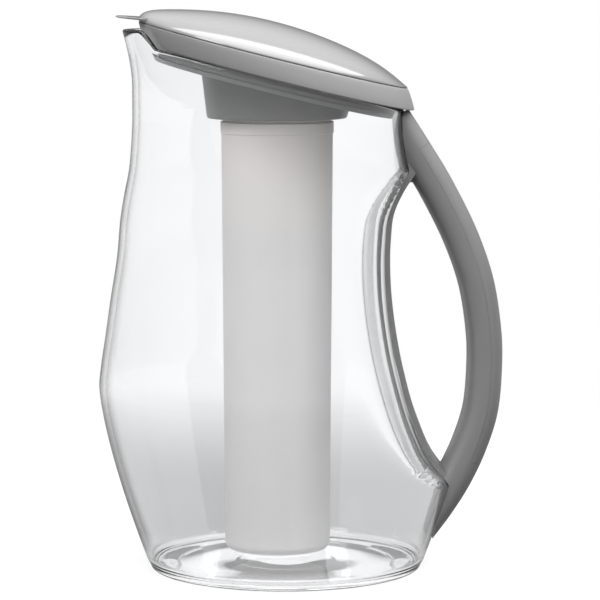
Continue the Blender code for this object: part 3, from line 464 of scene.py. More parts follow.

# %% [markdown]
# ## Clear acrylic
# Clear plastic shows what is behind it and mirrors a little of what is before it. The Principled
# shader does both with a Transmission Weight of 1. Where a thick wall is seen edge-on, light has
# passed more plastic and looks a little greyer. A Layer Weight node tints the wall's edges for that,
# but far darker, to grey 84, so it is mostly painted shade for the dark lines that refraction and
# reflection give a clear wall's edges. Volume absorption could give the real tint at a high cost in
# time. Lamps should still reach the tube inside, so a shadow ray meets a Transparent shader instead,
# through a Light Path node.

# %% Clear acrylic
def clear_plastic(name):
    """Polished acrylic with faint moulding waves."""
    finish = Finish(name)
    waves = finish.grain(22.0, 1.0)
    facing = finish.signal(finish.node("ShaderNodeLayerWeight", inputs={"Blend": 0.5}), "Facing")
    below_rim = rim_plane(0.0) - (finish.along("Z") + RIM_SLOPE * finish.along("X"))
    wall = finish.eased(finish.along("Z"), 0.006, 0.014) * finish.eased(below_rim, 0.002, 0.008)
    # Painted shade: edge-on walls go to grey 84, standing in for the dark edge lines of refraction.
    edge = finish.eased(facing, 0.68, 0.96) * wall
    clear = finish.mixed(waves, (0.982, 0.987, 0.998, 1.0), (0.993, 0.996, 1.0, 1.0))
    inputs = {
        "Base Color": finish.mixed(edge, clear, grey(84, -0.03)),
        "Roughness": 0.01 + 0.02 * waves,
        "Normal": finish.bumped(waves, 0.00008),
        "IOR": 1.49,
        "Transmission Weight": 1.0,
    }
    finish.feed(finish.shader, inputs)
    path = finish.node("ShaderNodeLightPath")
    window = finish.node("ShaderNodeBsdfTransparent", inputs={"Color": (0.93, 0.93, 0.94, 1.0)})
    surface = finish.blended(path.outputs["Is Shadow Ray"], finish.shader, window)
    finish.feed(finish.output, {"Surface": surface.outputs[0]})
    return finish.material


clear_acrylic = clear_plastic("clear_acrylic")

# %% [markdown]
# ## Frosted acrylic
# The tube is a milky plastic with an etched skin. Its top is a little warmer than the rest, and
# painted lighter as well, as painted light against the shade under the collar.
# Subsurface scattering could carry light through its wall, but it doubles the time of a picture and
# looks like a pale, matt base colour here. Light that comes through the cup reaches its underside,
# where no lamp does, so the underside alone has a soft glow in Emission Color.

# %% Frosted acrylic
def frosted_plastic(name):
    """Milky plastic with a fine etched skin."""
    finish = Finish(name)
    clouds = finish.grain(25.0, 2.0)
    etching = finish.grain(1800.0, 3.0)
    milky = finish.mixed(clouds, grey(219, 0.014), grey(225, 0.014))
    # Painted light: the top is a warmer and lighter grey, which offsets the collar's shade on it.
    warm = finish.eased(finish.along("Z"), 0.14, 0.2)
    underside = finish.eased(finish.along("Z"), 0.0098, 0.0078)
    dark = (0.0, 0.0, 0.0, 1.0)
    inputs = {
        "Base Color": finish.mixed(warm, milky, grey(243, 0.045)),
        "Roughness": 0.42 + 0.1 * etching,
        "Normal": finish.bumped(etching, 0.00003),
        "IOR": 1.49,
        "Emission Color": finish.mixed(underside, dark, grey(228)),
        "Emission Strength": 1.0,
    }
    finish.feed(finish.shader, inputs)
    return finish.material


frosted_acrylic = frosted_plastic("frosted_acrylic")

# %% [markdown]
# ## Rubber and steel
# Both rings are silicone, dull and dusty, and the screws are turned steel. Noise in the roughness
# is enough for pieces this small: dust makes the rubber uneven, and scratches do the same to steel.

# %% Rubber and steel
def rubber(name, level):
    """Silicone rubber, dull and slightly dusty."""
    finish = Finish(name)
    dust = finish.grain(1200.0, 4.0)
    inputs = {
        "Base Color": finish.mixed(dust, grey(level - 6), grey(level + 8)),
        "Roughness": 0.55 + 0.15 * dust,
        "Normal": finish.bumped(dust, 0.00003),
    }
    finish.feed(finish.shader, inputs)
    return finish.material


def plain_steel(name):
    """Turned stainless steel with fine scratches."""
    finish = Finish(name)
    scratches = finish.grain(4000.0, 4.0)
    inputs = {
        "Base Color": finish.mixed(scratches, grey(180), grey(205)),
        "Roughness": 0.24 + 0.14 * scratches,
        "Normal": finish.bumped(scratches, 0.000008),
        "Metallic": 1.0,
    }
    finish.feed(finish.shader, inputs)
    return finish.material


lid_rubber = rubber("lid_rubber", 138)
tube_rubber = rubber("tube_rubber", 150)
screw_steel = plain_steel("screw_steel")
print("finishes:", len(bpy.data.materials))

# %% [markdown]
# ## The clear body
# The body is one wall folded at the rim: up the outside, over a rounded rim, and down the inside to
# a thick floor. Level rings climb to the top of the finger hollow. Above it they lean more and
# more, until the last one lies in the sloping plane of the rim.

# %% Rings of the body
def climbing(low, grow, count):
    """Level rings up the body, close together where the hollow starts and ends."""
    levels = set(np.linspace(low, SCOOP_TOP, count).tolist())
    levels |= set(np.linspace(SCOOP_BOTTOM - 0.003, SCOOP_BOTTOM + 0.012, 10).tolist())
    levels |= set(np.linspace(SCOOP_TOP - 0.024, SCOOP_TOP, 12).tolist())
    return [functools.partial(skin_point, height=level, grow=grow) for level in sorted(levels)]


def leaning(grow, drop, count):
    """Rings that lean more and more, up to a little under the rim."""

    def ring(share):
        def point(angle):
            top = rim_level(angle, grow) - drop
            return skin_point(angle, SCOOP_TOP + share * (top - SCOOP_TOP), grow)

        return point

    return [ring(step / count) for step in range(1, count + 1)]


def rim_ring(turn):
    """One ring of the rounded rim, from outside at 0 to inside at half a turn."""

    def point(angle):
        grow = (math.cos(turn) - 1.0) * WALL / 2
        level = rim_level(angle, grow) - WALL / 2 * (1.0 - math.sin(turn))
        return skin_point(angle, level, grow)

    return point


PAD_RADIUS = 0.0217
FOOT_WIDTH = 0.0107
RECESS = 0.0010
recess_step = ((0.0, 0.0), (0.0005, 0.3), (0.0011, 0.9), (0.0016, 1.0))
foot = BASE_RADIUS - FOOT_ROUND
foot_ring = foot - FOOT_WIDTH
under = [level_ring(0.0110, 0.0)]
under += [level_ring(PAD_RADIUS + out, RECESS * share) for out, share in recess_step]
under += [level_ring(0.0370, RECESS)]
under += [level_ring(foot_ring - out, RECESS * share) for out, share in recess_step[::-1]]
foot_edge = [level_ring(foot + FOOT_ROUND * sin, FOOT_ROUND * cos) for cos, sin in quarter(6)]
outside = climbing(FOOT_ROUND, 0.0, 70)[1:] + leaning(0.0, WALL / 2, 22)
rim = [rim_ring(math.pi * step / 8) for step in range(1, 8)]
wall_start = FLOOR + FLOOR_CORNER
inside = climbing(wall_start, -WALL, 66) + leaning(-WALL, WALL / 2, 22)
corner = front_reach(wall_start) - WALL
floor_corner = [
    level_ring(corner - FLOOR_CORNER * out, wall_start - FLOOR_CORNER * down)
    for out, down in quarter(8)[1:]
]
floor_inside = [level_ring(corner * share, FLOOR) for share in (0.7, 0.4, 0.15)]

# %% Roll the body and add its fixings
body_rings = under + foot_edge + outside + rim + inside[::-1] + floor_corner + floor_inside
body_mesh = rolled(body_rings)
print("rings of the body:", len(body_rings))


def rod(start, end, radius):
    """A round rod between two points."""
    run = Vector(end) - Vector(start)
    turn = run.to_track_quat("Z", "Y").to_matrix().to_4x4()
    place = Matrix.Translation((Vector(start) + Vector(end)) / 2) @ turn
    sizes = {"segments": 48, "radius1": radius, "radius2": radius, "depth": run.length}
    mesh = bmesh.new()
    bmesh.ops.create_cone(mesh, cap_ends=True, matrix=place, **sizes)
    return mesh


def block(low, high):
    """A box between two corners."""
    size = Vector(high) - Vector(low)
    mesh = bmesh.new()
    place = Matrix.Translation((Vector(low) + Vector(high)) / 2) @ Matrix.Diagonal((*size, 1.0))
    bmesh.ops.create_cube(mesh, size=1.0, matrix=place)
    return mesh


BOSS_HEIGHT = 0.1812
BOSS_RADIUS = 0.0042
BOSS_WALL = skin_point(0.0, BOSS_HEIGHT).x
BOSS_FACE = BOSS_WALL + 0.0047
SCREW_RADIUS = 0.0017
HOOK_HEIGHT = 0.0300
HOOK_WALL = skin_point(0.0, HOOK_HEIGHT).x


def level_rod(start, end, radius):
    """A rod along the pitcher at the boss's height."""
    return rod((start, 0, BOSS_HEIGHT), (end, 0, BOSS_HEIGHT), radius)


def hook(grow):
    """The lug that the handle's foot hangs on, grown by a clearance."""
    half_width, half_height = 0.0050 + grow, 0.0030 + grow
    low = (HOOK_WALL - WALL / 2, -half_width, HOOK_HEIGHT - half_height)
    return block(low, (HOOK_WALL + 0.0041 + grow, half_width, HOOK_HEIGHT + half_height))


boss = level_rod(BOSS_WALL - WALL / 2, BOSS_FACE, BOSS_RADIUS)
pilot = level_rod(BOSS_FACE - 0.0042, BOSS_FACE + 0.0040, SCREW_RADIUS)
body_mesh = carved(body_mesh, [("UNION", boss), ("UNION", hook(0.0)), ("DIFFERENCE", pilot)])
make_piece("clear_vessel", body_mesh, clear_acrylic, "vessel", ["vessel"], 40.0)

# %% [markdown]
# ## The loop handle
# The strap is a rounded bar, broad and thick, that follows one curve from the neck to the foot.
# Where it meets the body it's cut to the body's own form, so it hugs the wall. A thin liner runs
# down the hollow, and a cover closes the strap's back.

# %% Sizes of the handle
HANDLE_BOW = 0.0376
HANDLE_FOOT_AT = BASE_RADIUS + 0.0038
HANDLE_TOP_AT = NECK_RADIUS - NECK_OFFSET + 0.0022
HANDLE_TOP = RIM_HEIGHT - RIM_SLOPE * (NECK_RADIUS + 0.0022)
HANDLE_BOTTOM = 0.0105
STRAP_THICKNESS = 0.0163
HANDLE_WIDTH = 0.0280
HANDLE_SHELL = 0.0022
LINER = 0.0029
LINER_HALF_WIDTH = 0.0125
SQUARENESS = 2.6
COVER_DEPTH = 0.0058
COVER_TOP = HANDLE_TOP - 0.0143
COVER_FOOT = 0.0480
CORE_TOP = HANDLE_TOP - 0.0403
CORE_FOOT = 0.0600
strap_steps = np.linspace(0.0, 1.0, 12).tolist()
strap_height = curve_through(
    strap_steps, (1.0, 0.92, 0.84, 0.73, 0.62, 0.51, 0.42, 0.31, 0.22, 0.14, 0.07, 0.0)
)
strap_bow = curve_through(
    strap_steps, (0.0, 0.251, 0.486, 0.75, 0.927, 0.998, 0.995, 0.921, 0.757, 0.542, 0.294, 0.0)
)


def strap_back(share):
    """A point on the back of the strap, from its top at 0 to its foot at 1."""
    rise = strap_height(share)
    reach = HANDLE_FOOT_AT + (HANDLE_TOP_AT - HANDLE_FOOT_AT) * rise + HANDLE_BOW * strap_bow(share)
    return Vector((reach, 0.0, HANDLE_BOTTOM + (HANDLE_TOP - HANDLE_BOTTOM) * rise))


def strap_frame(share):
    """The back point of the strap and the direction straight out of it."""
    along = (strap_back(share + 0.002) - strap_back(share - 0.002)).normalized()
    return strap_back(share), Vector((-along.z, 0.0, along.x))


def strap_share_at(height):
    """Where the back of the strap passes a height."""
    shares = np.linspace(0.0, 1.0, 400)
    return float(np.interp(-height, [-strap_back(share).z for share in shares], shares))


def strap_ring(share, inset=0.0):
    """One rounded section of the strap, as a ring for rolled."""
    back, outward = strap_frame(share)
    middle = back - outward * (STRAP_THICKNESS / 2)

    def point(angle):
        across = math.copysign(abs(math.cos(angle)) ** (2.0 / SQUARENESS), math.cos(angle))
        aside = math.copysign(abs(math.sin(angle)) ** (2.0 / SQUARENESS), math.sin(angle))
        thick = (STRAP_THICKNESS / 2 - inset) * across
        return middle + outward * thick + Vector((0.0, (HANDLE_WIDTH / 2 - inset) * aside, 0.0))

    return point


def side_slab(outline, half_width):
    """Extrude an outline in the plane of symmetry to both sides."""
    mesh = bmesh.new()
    corners = [mesh.verts.new((x, -half_width, z)) for x, z in outline]
    face = mesh.faces.new(corners)
    grown = bmesh.ops.extrude_face_region(mesh, geom=[face])["geom"]
    moved = [part for part in grown if isinstance(part, bmesh.types.BMVert)]
    bmesh.ops.translate(mesh, verts=moved, vec=(0.0, 2 * half_width, 0.0))
    bmesh.ops.recalc_face_normals(mesh, faces=mesh.faces)
    return mesh

# %% Shapes that join and cut the strap
foot_share = strap_share_at(0.0130)


def whole_strap():
    """The strap before anything is cut from it."""
    return rolled([strap_ring(share) for share in np.linspace(0.0, foot_share, 80)], 64)


def cover_zone(clearance):
    """The part of the strap's side view that belongs to its back cover."""
    ends = strap_share_at(COVER_TOP + clearance), strap_share_at(COVER_FOOT - clearance)
    inner = []
    outer = []
    for share in np.linspace(*ends, 60):
        back, outward = strap_frame(share)
        seam = back - outward * (COVER_DEPTH + clearance)
        far = back + outward * 0.004
        inner.append((seam.x, seam.z))
        outer.append((far.x, far.z))
    return side_slab(inner + outer[::-1], HANDLE_WIDTH)


def strap_core():
    """The hollow inside the strap."""
    ends = strap_share_at(CORE_TOP), strap_share_at(CORE_FOOT)
    return rolled([strap_ring(share, HANDLE_SHELL) for share in np.linspace(*ends, 50)], 48)


liner_heights = np.linspace(SCOOP_BOTTOM, SCOOP_TOP, 80).tolist()
liner_back = [(scoop_reach(height) + FIT + LINER, height) for height in liner_heights]
liner_front = [(scoop_reach(height) - WALL, height) for height in liner_heights]
liner = side_slab(liner_back + liner_front[::-1], LINER_HALF_WIDTH)
form_rings = [level_ring(BASE_RADIUS + FIT, -FIT)] + climbing(FOOT_ROUND, FIT, 60)
body_form = rolled(form_rings + leaning(FIT, 0.0, 16), 144)

# %% Make the handle's loop and its back cover
HEAD_RADIUS = 0.0032
HEAD_SEAT = 0.0018
loop_cutters = [
    cover_zone(FIT / 4),
    strap_core(),
    body_form,
    level_rod(BOSS_FACE + HEAD_SEAT, BOSS_FACE + HANDLE_BOW, HEAD_RADIUS),
    level_rod(BOSS_FACE, BOSS_FACE + HANDLE_BOW, SCREW_RADIUS),
    level_rod(BOSS_WALL - WALL, BOSS_FACE + FIT, BOSS_RADIUS + FIT),
    hook(FIT),
]
loop_steps = [("UNION", liner)] + [("DIFFERENCE", cutter) for cutter in loop_cutters]
loop_mesh = carved(whole_strap(), loop_steps)
make_piece("handle_loop", loop_mesh, handle_grey, "vessel", ["handle_frame"])
cover_mesh = carved(whole_strap(), [("INTERSECT", cover_zone(0.0)), ("DIFFERENCE", strap_core())])
make_piece(
    "handle_back", cover_mesh, handle_grey, "vessel", ["handle_back_cover"]
)

# %% [markdown]
# ## The lid's tray
# The tray is one moulded dish: a leaning band outside, a floor, and a skirt below that plugs the
# neck, with a seat for a rubber ring. It could be a few joined solids, but one row of rings that
# runs round its whole section gives a closed skin with the roundings in place. A slight crown on
# the band keeps its highlight soft. The screws' holes are cut through the floor.

# %% Sizes of the lid
SEAT = RIM_HEIGHT + FIT
BAND_RADIUS = 0.0611
BAND_HEIGHT = 0.0096
BAND_WALL = 0.0022
BAND_CROWN = 0.0003
BAND_EDGE = 0.0012
BAND_EDGE_DROP = 0.0010
BAND_TOP_OFFSET = 0.0056
BAND_BOTTOM_OFFSET = 0.0024
SKIRT_RADIUS = 0.0547
SKIRT_INNER = 0.0513
SKIRT_OFFSET = 0.0053
SKIRT_DEPTH = 0.0062
SKIRT_TIP = 0.0534
GROOVE_LIP = 0.0545
GROOVE_RADIUS = 0.0536
GROOVE_LOW = -0.0042
GROOVE_HIGH = -0.0012
TRAY_FLOOR = 0.0020
TUBE_X = -0.0038
SOCKET_BORE = 0.0269
SCREW_CIRCLE = 0.0302


def band_ring(radius, rise):
    """A ring of the leaning band, at a rise over the tray's underside."""
    share = rise / BAND_HEIGHT
    offset = BAND_BOTTOM_OFFSET + (BAND_TOP_OFFSET - BAND_BOTTOM_OFFSET) * share
    crown = 4.0 * BAND_CROWN * share * (1.0 - share)
    return sloped_ring(offset, radius + crown, SEAT + rise)


def skirt_ring(radius, rise):
    """A ring of the skirt under the tray."""
    return sloped_ring(SKIRT_OFFSET, radius, SEAT + rise)

# %% The tray with its band and skirt
EDGE = 0.0007
LIP = 0.0005
tray = [sloped_ring(-TUBE_X, SOCKET_BORE, SEAT), skirt_ring(SKIRT_INNER + FIT, 0.0)]
tray += [
    skirt_ring(SKIRT_INNER + LIP * out, LIP - SKIRT_DEPTH - LIP * up) for out, up in quarter(4)
]
tray += [skirt_ring(SKIRT_TIP + LIP * up, LIP * out - SKIRT_DEPTH) for out, up in quarter(4)]
tray += [skirt_ring(GROOVE_LIP, GROOVE_LOW), skirt_ring(GROOVE_RADIUS, GROOVE_LOW)]
tray += [skirt_ring(GROOVE_RADIUS, GROOVE_HIGH), skirt_ring(SKIRT_RADIUS, GROOVE_HIGH)]
tray += [skirt_ring(SKIRT_RADIUS, 0.0)]
tray += [band_ring(BAND_RADIUS - EDGE + EDGE * up, EDGE * out) for out, up in quarter(6)]
tray += [band_ring(BAND_RADIUS, BAND_HEIGHT * share) for share in (0.3, 0.5, 0.7)]
tray += [
    band_ring(BAND_RADIUS - BAND_EDGE * out, BAND_HEIGHT - BAND_EDGE_DROP * (1.0 - up))
    for out, up in quarter(6)
]
tray += [band_ring(BAND_RADIUS - BAND_WALL, rise) for rise in (BAND_HEIGHT, TRAY_FLOOR)]
tray += [sloped_ring(-TUBE_X, SOCKET_BORE, SEAT + TRAY_FLOOR)]


def screw_place(index):
    """Where a collar screw's head sits on the tray's floor."""
    angle = math.pi / 2 + TURN * index / 3
    x = TUBE_X + SCREW_CIRCLE * math.cos(angle)
    return Vector((x, SCREW_CIRCLE * math.sin(angle), rim_plane(x) + FIT + TRAY_FLOOR))


RIM_UP = Vector((RIM_SLOPE, 0.0, 1.0)).normalized()


def screw_cuts(below, above, radius):
    """Cuts along the three collar screws, from below their seats to above them."""
    seats = [screw_place(index) for index in range(3)]
    cutters = [rod(seat - RIM_UP * below, seat + RIM_UP * above, radius) for seat in seats]
    return [("DIFFERENCE", cutter) for cutter in cutters]


tray_mesh = carved(rolled(tray), screw_cuts(0.004, 0.004, 0.0018))
make_piece("lid_tray", tray_mesh, tray_grey, "lid", ["lid_base"])

# %% [markdown]
# ## The lid's cover
# The cover is a shallow dome, highest over the middle, whose edge is deep over the spout and thin
# at the handle. A squashed sphere would be too round at its edge. Rings whose height falls with the
# square of their radius, over a quickly rounded shoulder, give the low and broad dome of the real
# one. A tongue under its edge stands inside the tray's band, and a flat visor covers the spout.

# %% The cover
COVER_WALL = 0.0020
DOME_RISE = 0.0111
DOME_EDGE = 0.0036
DOME_EDGE_FALL = 0.0032


def cover_ring(share, radius, base, cut=0.0):
    """One ring of the dome, at a share of its radius."""
    flat = sloped_ring(BAND_TOP_OFFSET, radius * share, base)

    def point(angle):
        place = flat(angle)
        along = (place.x + BAND_TOP_OFFSET) / BAND_RADIUS
        edge = (DOME_EDGE - DOME_EDGE_FALL * along**7) * math.sqrt(max(1.0 - share**8, 0.0))
        place.z += edge + (DOME_RISE - cut) * (1.0 - share * share)
        return place

    return point


COVER_BASE = SEAT + BAND_HEIGHT + FIT / 4
TONGUE_FOOT = BAND_HEIGHT - 0.0027
shoulder_rises = (0.0, 0.12, 0.24, 0.36, 0.5, 0.64, 0.76, 0.86, 0.93, 0.97)
shoulders = [(1.0 - rise * rise) ** 0.125 for rise in shoulder_rises]
dome_shares = shoulders + [0.62, 0.54, 0.46, 0.38, 0.3, 0.22, 0.14, 0.06]
tongue_out = BAND_RADIUS - BAND_WALL - FIT
tongue_in = tongue_out - 0.0016
tongue = [
    band_ring(tongue_out, BAND_HEIGHT + FIT),
    band_ring(tongue_out, TONGUE_FOOT),
    band_ring(tongue_in, TONGUE_FOOT),
    band_ring(tongue_in, BAND_HEIGHT + FIT),
]
dome_out = [cover_ring(share, BAND_RADIUS, COVER_BASE) for share in dome_shares]
dome_in = [
    cover_ring(share, BAND_RADIUS - COVER_WALL, COVER_BASE, COVER_WALL) for share in dome_shares[4:]
]
cover = rolled(dome_in[::-1] + tongue[::-1] + dome_out)

# %% The visor
VISOR_REACH = 0.0104
VISOR_ROOT = 0.0016
VISOR_SPREAD = math.radians(22.0)
VISOR_SLOPE = 0.0786
VISOR_THICKNESS = 0.0011
VISOR_BASE = COVER_BASE + FIT + RIM_SLOPE * (BAND_RADIUS + BAND_TOP_OFFSET - NECK_OFFSET)


def visor_section(share):
    """One upright section of the visor, as a ring: root, tip, and a rounded edge between them."""
    turn = math.pi + VISOR_SPREAD * share
    reach = VISOR_REACH * max(math.cos(math.pi / 2 * share), 0.0) ** 0.7

    def point(angle):
        across, up = math.cos(angle), math.sin(angle)
        size = max(abs(across), abs(up)) ** -0.6
        radius = BAND_RADIUS - VISOR_ROOT + (VISOR_ROOT + reach) * (1.0 + across * size) / 2.0
        x = radius * math.cos(turn) - BAND_TOP_OFFSET
        height = VISOR_BASE + VISOR_SLOPE * (-BAND_RADIUS - BAND_TOP_OFFSET - x)
        height += VISOR_THICKNESS * (1.0 + up * size) / 2.0
        return Vector((x, radius * math.sin(turn), height))

    return point


visor_shares = np.sin(np.linspace(-math.pi / 2, math.pi / 2, 60))
visor = rolled([visor_section(share) for share in visor_shares], 24)
dome_mesh = carved(cover, [("UNION", visor)])
make_piece("lid_dome", dome_mesh, dome_grey, "lid", ["lid_cover"])

# %% [markdown]
# ## The rubber ring on the skirt
# A soft ring in the skirt's seat closes the neck. A torus would be too round: the real one is a
# flat band with a rounded lip, so its section is rolled from six corners and a quarter turn.

# %% The rubber ring
RING_INNER = SKIRT_RADIUS - 0.0008
RING_OUTER = SKIRT_RADIUS + 0.0007
RING_LOW = GROOVE_LOW + FIT
RING_HIGH = GROOVE_HIGH - FIT
RING_LIP = 0.0005
RING_LIP_RISE = 0.0010
ring_middle = (RING_LOW + RING_HIGH) / 2
gasket = [skirt_ring(RING_INNER, RING_LOW), skirt_ring(RING_OUTER - RING_LIP, RING_LOW)]
gasket += [
    skirt_ring(RING_OUTER - RING_LIP * out, ring_middle + RING_LIP_RISE * up)
    for out, up in quarter(5)
]
gasket += [skirt_ring(RING_INNER, RING_HIGH)]
gasket_mesh = rolled(gasket, loop=True)
make_piece("lid_seal_ring", gasket_mesh, lid_rubber, "lid", ["lid_gasket"])

# %% [markdown]
# ## The collar
# The collar is a short cone under the tray, level at its foot and sloping at its top. It isn't a
# turned shape, so it's rolled through rings that lean more and more. Inside are three ramps for the
# tube's lugs. Each ramp is a flat grid, thickened by an extrusion and bent round the tube's axis.

# %% The collar
def collar_ring(radius, height, share=0.0):
    """A ring of the collar, level or sloping with the rim."""
    return sloped_ring(-TUBE_X, radius, height, share)


COLLAR_FOOT = 0.2065
COLLAR_EDGE = 0.0012
COLLAR_RADIUS = 0.0320
COLLAR_WIDEN = 0.0030
cone_foot = COLLAR_FOOT + COLLAR_EDGE
cone_rise = RIM_HEIGHT - FIT - cone_foot
collar = [
    collar_ring(SOCKET_BORE + COLLAR_EDGE / 2 * out, cone_foot - COLLAR_EDGE * up)
    for out, up in quarter(4)
]
collar += [
    collar_ring(COLLAR_RADIUS - COLLAR_EDGE * (1.0 - up), COLLAR_FOOT + COLLAR_EDGE * out)
    for out, up in quarter(5)
]
collar += [
    collar_ring(COLLAR_RADIUS + COLLAR_WIDEN * share, cone_foot + cone_rise * share, share)
    for share in (0.25, 0.5, 0.75, 1.0)
]
collar += [collar_ring(SOCKET_BORE, RIM_HEIGHT - FIT, 1.0)]

# %% The ramps of the lock
RAMP_SPREAD = math.radians(48.0)
RAMP_LEAD = 0.0120
RAMP_THICKNESS = 0.0018
COLLAR_RAMP = {"inner": 0.0250, "outer": 0.02945, "bottom": 0.2110}
TUBE_LUG = {"inner": 0.02363, "outer": 0.0263, "bottom": 0.2131}


def lock_ramp(start, inner, outer, bottom):
    """An arc that climbs round the tube's axis, from a grid that is thickened and bent."""
    mesh = bmesh.new()
    bmesh.ops.create_grid(mesh, x_segments=16, y_segments=1, size=1.0)
    grown = bmesh.ops.extrude_face_region(mesh, geom=mesh.faces[:])["geom"]
    moved = [part for part in grown if isinstance(part, bmesh.types.BMVert)]
    bmesh.ops.translate(mesh, verts=moved, vec=(0.0, 0.0, 1.0))
    for vert in mesh.verts:
        turn = RAMP_SPREAD * (vert.co.x + 1.0) / 2.0
        radius = inner + (outer - inner) * (vert.co.y + 1.0) / 2.0
        rise = bottom + RAMP_LEAD * turn / TURN + RAMP_THICKNESS * vert.co.z
        vert.co = (TUBE_X + radius * math.cos(start + turn), radius * math.sin(start + turn), rise)
    bmesh.ops.recalc_face_normals(mesh, faces=mesh.faces)
    return mesh


lock_starts = [math.radians(3.0) + TURN * index / 3 for index in range(3)]
collar_steps = [("UNION", lock_ramp(start, **COLLAR_RAMP)) for start in lock_starts]
collar_steps += screw_cuts(0.0073, 0.0, SCREW_RADIUS)
collar_mesh = carved(rolled(collar, 128, True), collar_steps)
make_piece("tube_collar", collar_mesh, collar_grey, "lid", ["tube_socket"])

# %% [markdown]
# ## The ice tube
# The tube is a cup: straight walls that widen a little upwards, a rounded foot, a raised ring near
# the top, and a neck with a groove for its sealing ring. It could be spun from a profile. Rolling
# it through rings gives the same skin, and reads like the other pieces. Its three lugs are the same
# bent grids as the collar's ramps, and they lie on those.

# %% The ice tube
TUBE_FOOT = 0.0075
TUBE_RADIUS = 0.0242
TUBE_WIDEN = 0.0012
TUBE_ROUND = 0.0050
TUBE_STRAIGHT = 0.1870
TUBE_INNER = 0.0222
TUBE_FLOOR = 0.0101


def tube_ring(radius, height):
    """A level ring about the tube's axis."""
    return level_ring(radius, height, TUBE_X)


neck_profile = (
    (0.0258, 0.1999), (0.0258, 0.2048), (0.0256, 0.2050), (0.0243, 0.2054), (0.0243, 0.2065),
    (0.0231, 0.2065), (0.0231, 0.2103), (0.0243, 0.2103), (0.0243, 0.2170), (0.0239, 0.2174),
    (0.0217, 0.2174), (0.0217, 0.1995), (0.0221, 0.1945),
)
tube = [tube_ring(radius, TUBE_FOOT) for radius in (0.006, 0.012, 0.0175)]
tube += [
    tube_ring(TUBE_RADIUS - TUBE_ROUND * (1.0 - up), TUBE_FOOT + TUBE_ROUND * out)
    for out, up in quarter(8)
]
tube += [
    tube_ring(TUBE_RADIUS + TUBE_WIDEN * share, TUBE_FOOT + TUBE_ROUND + TUBE_STRAIGHT * share)
    for share in (0.25, 0.5, 0.75, 1.0)
]
tube += [tube_ring(radius, height) for radius, height in neck_profile]
tube += [
    tube_ring(TUBE_INNER - TUBE_ROUND * out, TUBE_FLOOR + TUBE_ROUND * (1.0 - up))
    for out, up in quarter(6)
]
tube += [tube_ring(radius, TUBE_FLOOR) for radius in (0.012, 0.006)]
lugs = [("UNION", lock_ramp(start, **TUBE_LUG)) for start in lock_starts]
tube_mesh = carved(rolled(tube, 128), lugs)
make_piece("frosted_tube", tube_mesh, frosted_acrylic, "tube", ["ice_tube"])

# %% [markdown]
# ## The tube's sealing ring and the screws
# The sealing ring is a plain round ring in the groove of the tube's neck. The screws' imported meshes
# are fine enough as they are, so they only get a better material through their slots.

# %% The sealing ring
SEAL_RADIUS = 0.0016
SEAL_MIDDLE = 0.0250
SEAL_HEIGHT = 0.2084
SEAL_STEPS = 20


def seal_ring(turn):
    """One ring round the seal's own round section."""
    radius = SEAL_MIDDLE + SEAL_RADIUS * math.cos(turn)
    return tube_ring(radius, SEAL_HEIGHT + SEAL_RADIUS * math.sin(turn))


seal = [seal_ring(TURN * step / SEAL_STEPS) for step in range(SEAL_STEPS)]
seal_mesh = rolled(seal, 128, True)
make_piece("tube_seal", seal_mesh, tube_rubber, "seal", ["tube_seal_ring"])

# %% The screws
for name in ("handle_screw", "socket_screw_1", "socket_screw_2", "socket_screw_3"):
    screw = frame["nodes"][name]
    for index in range(len(screw.material_slots)):
        screw.material_slots[index].material = screw_steel
    print(name, "is steel")

# %% [markdown]
# ## Floor
# The photograph is a plain studio picture on white. A white sweep under stronger lamps could give
# that, but it would also wash out the pitcher. Instead the camera sees a floor that mostly glows
# white, with enough plain white in it to keep the pitcher's soft shadow. Rays that have gone
# through the clear body, or that a glossy face mirrors, see a table with painted light and shade:
# a painted pool of light under the base, where light through the clear base would fall, painted
# shade in grey beside it, and white half a metre away, as a table top is before a white wall.

# %% Floor
# Glow shares: a painted pool of light under the base, painted shade beside it, white far away.
LIT_POOL_GLOW, SIDE_SHADE_DROP, WHITE_FAR = 0.8, -0.34, 0.54


def pale_floor():
    """A wide pale floor that fades into the white background."""
    finish = Finish("pale_floor")
    clouds = finish.grain(3.0, 1.0)
    length = finish.node("ShaderNodeVectorMath", {"operation": "LENGTH"}, {0: finish.place()})
    away = finish.signal(length, "Value")
    fade = finish.eased(away, 0.2, 0.62)
    # Painted light and shade: grey 238 under the base is a painted pool of light, grey 82 to 86
    # beside it painted shade.
    shade_beside = finish.eased(away, 0.055, 0.1)
    shaded_table_grey = finish.mixed(clouds, grey(82), grey(86))
    past_lit_pool = finish.eased(away, 0.045, 0.06)
    table = {"Base Color": finish.mixed(past_lit_pool, grey(238), shaded_table_grey), "Roughness": 0.9}
    finish.feed(finish.shader, table)
    white = finish.node("ShaderNodeBsdfDiffuse", inputs={"Color": (0.9, 0.9, 0.9, 1.0)})
    full_white = {"Color": (1.0, 1.0, 1.0, 1.0), "Strength": 1.0}
    glow = finish.node("ShaderNodeEmission", inputs=full_white)
    camera_ray = finish.signal(finish.node("ShaderNodeLightPath"), "Is Camera Ray")
    to_camera = finish.blended(0.7 + 0.3 * fade, white, glow)
    seen_share = finish.looked_at(0.3) * (LIT_POOL_GLOW + SIDE_SHADE_DROP * shade_beside + WHITE_FAR * fade)
    to_pitcher = finish.blended(seen_share, finish.shader, glow)
    surface = finish.blended(camera_ray, to_pitcher, to_camera)
    finish.feed(finish.output, {"Surface": surface.outputs[0]})
    return finish.material


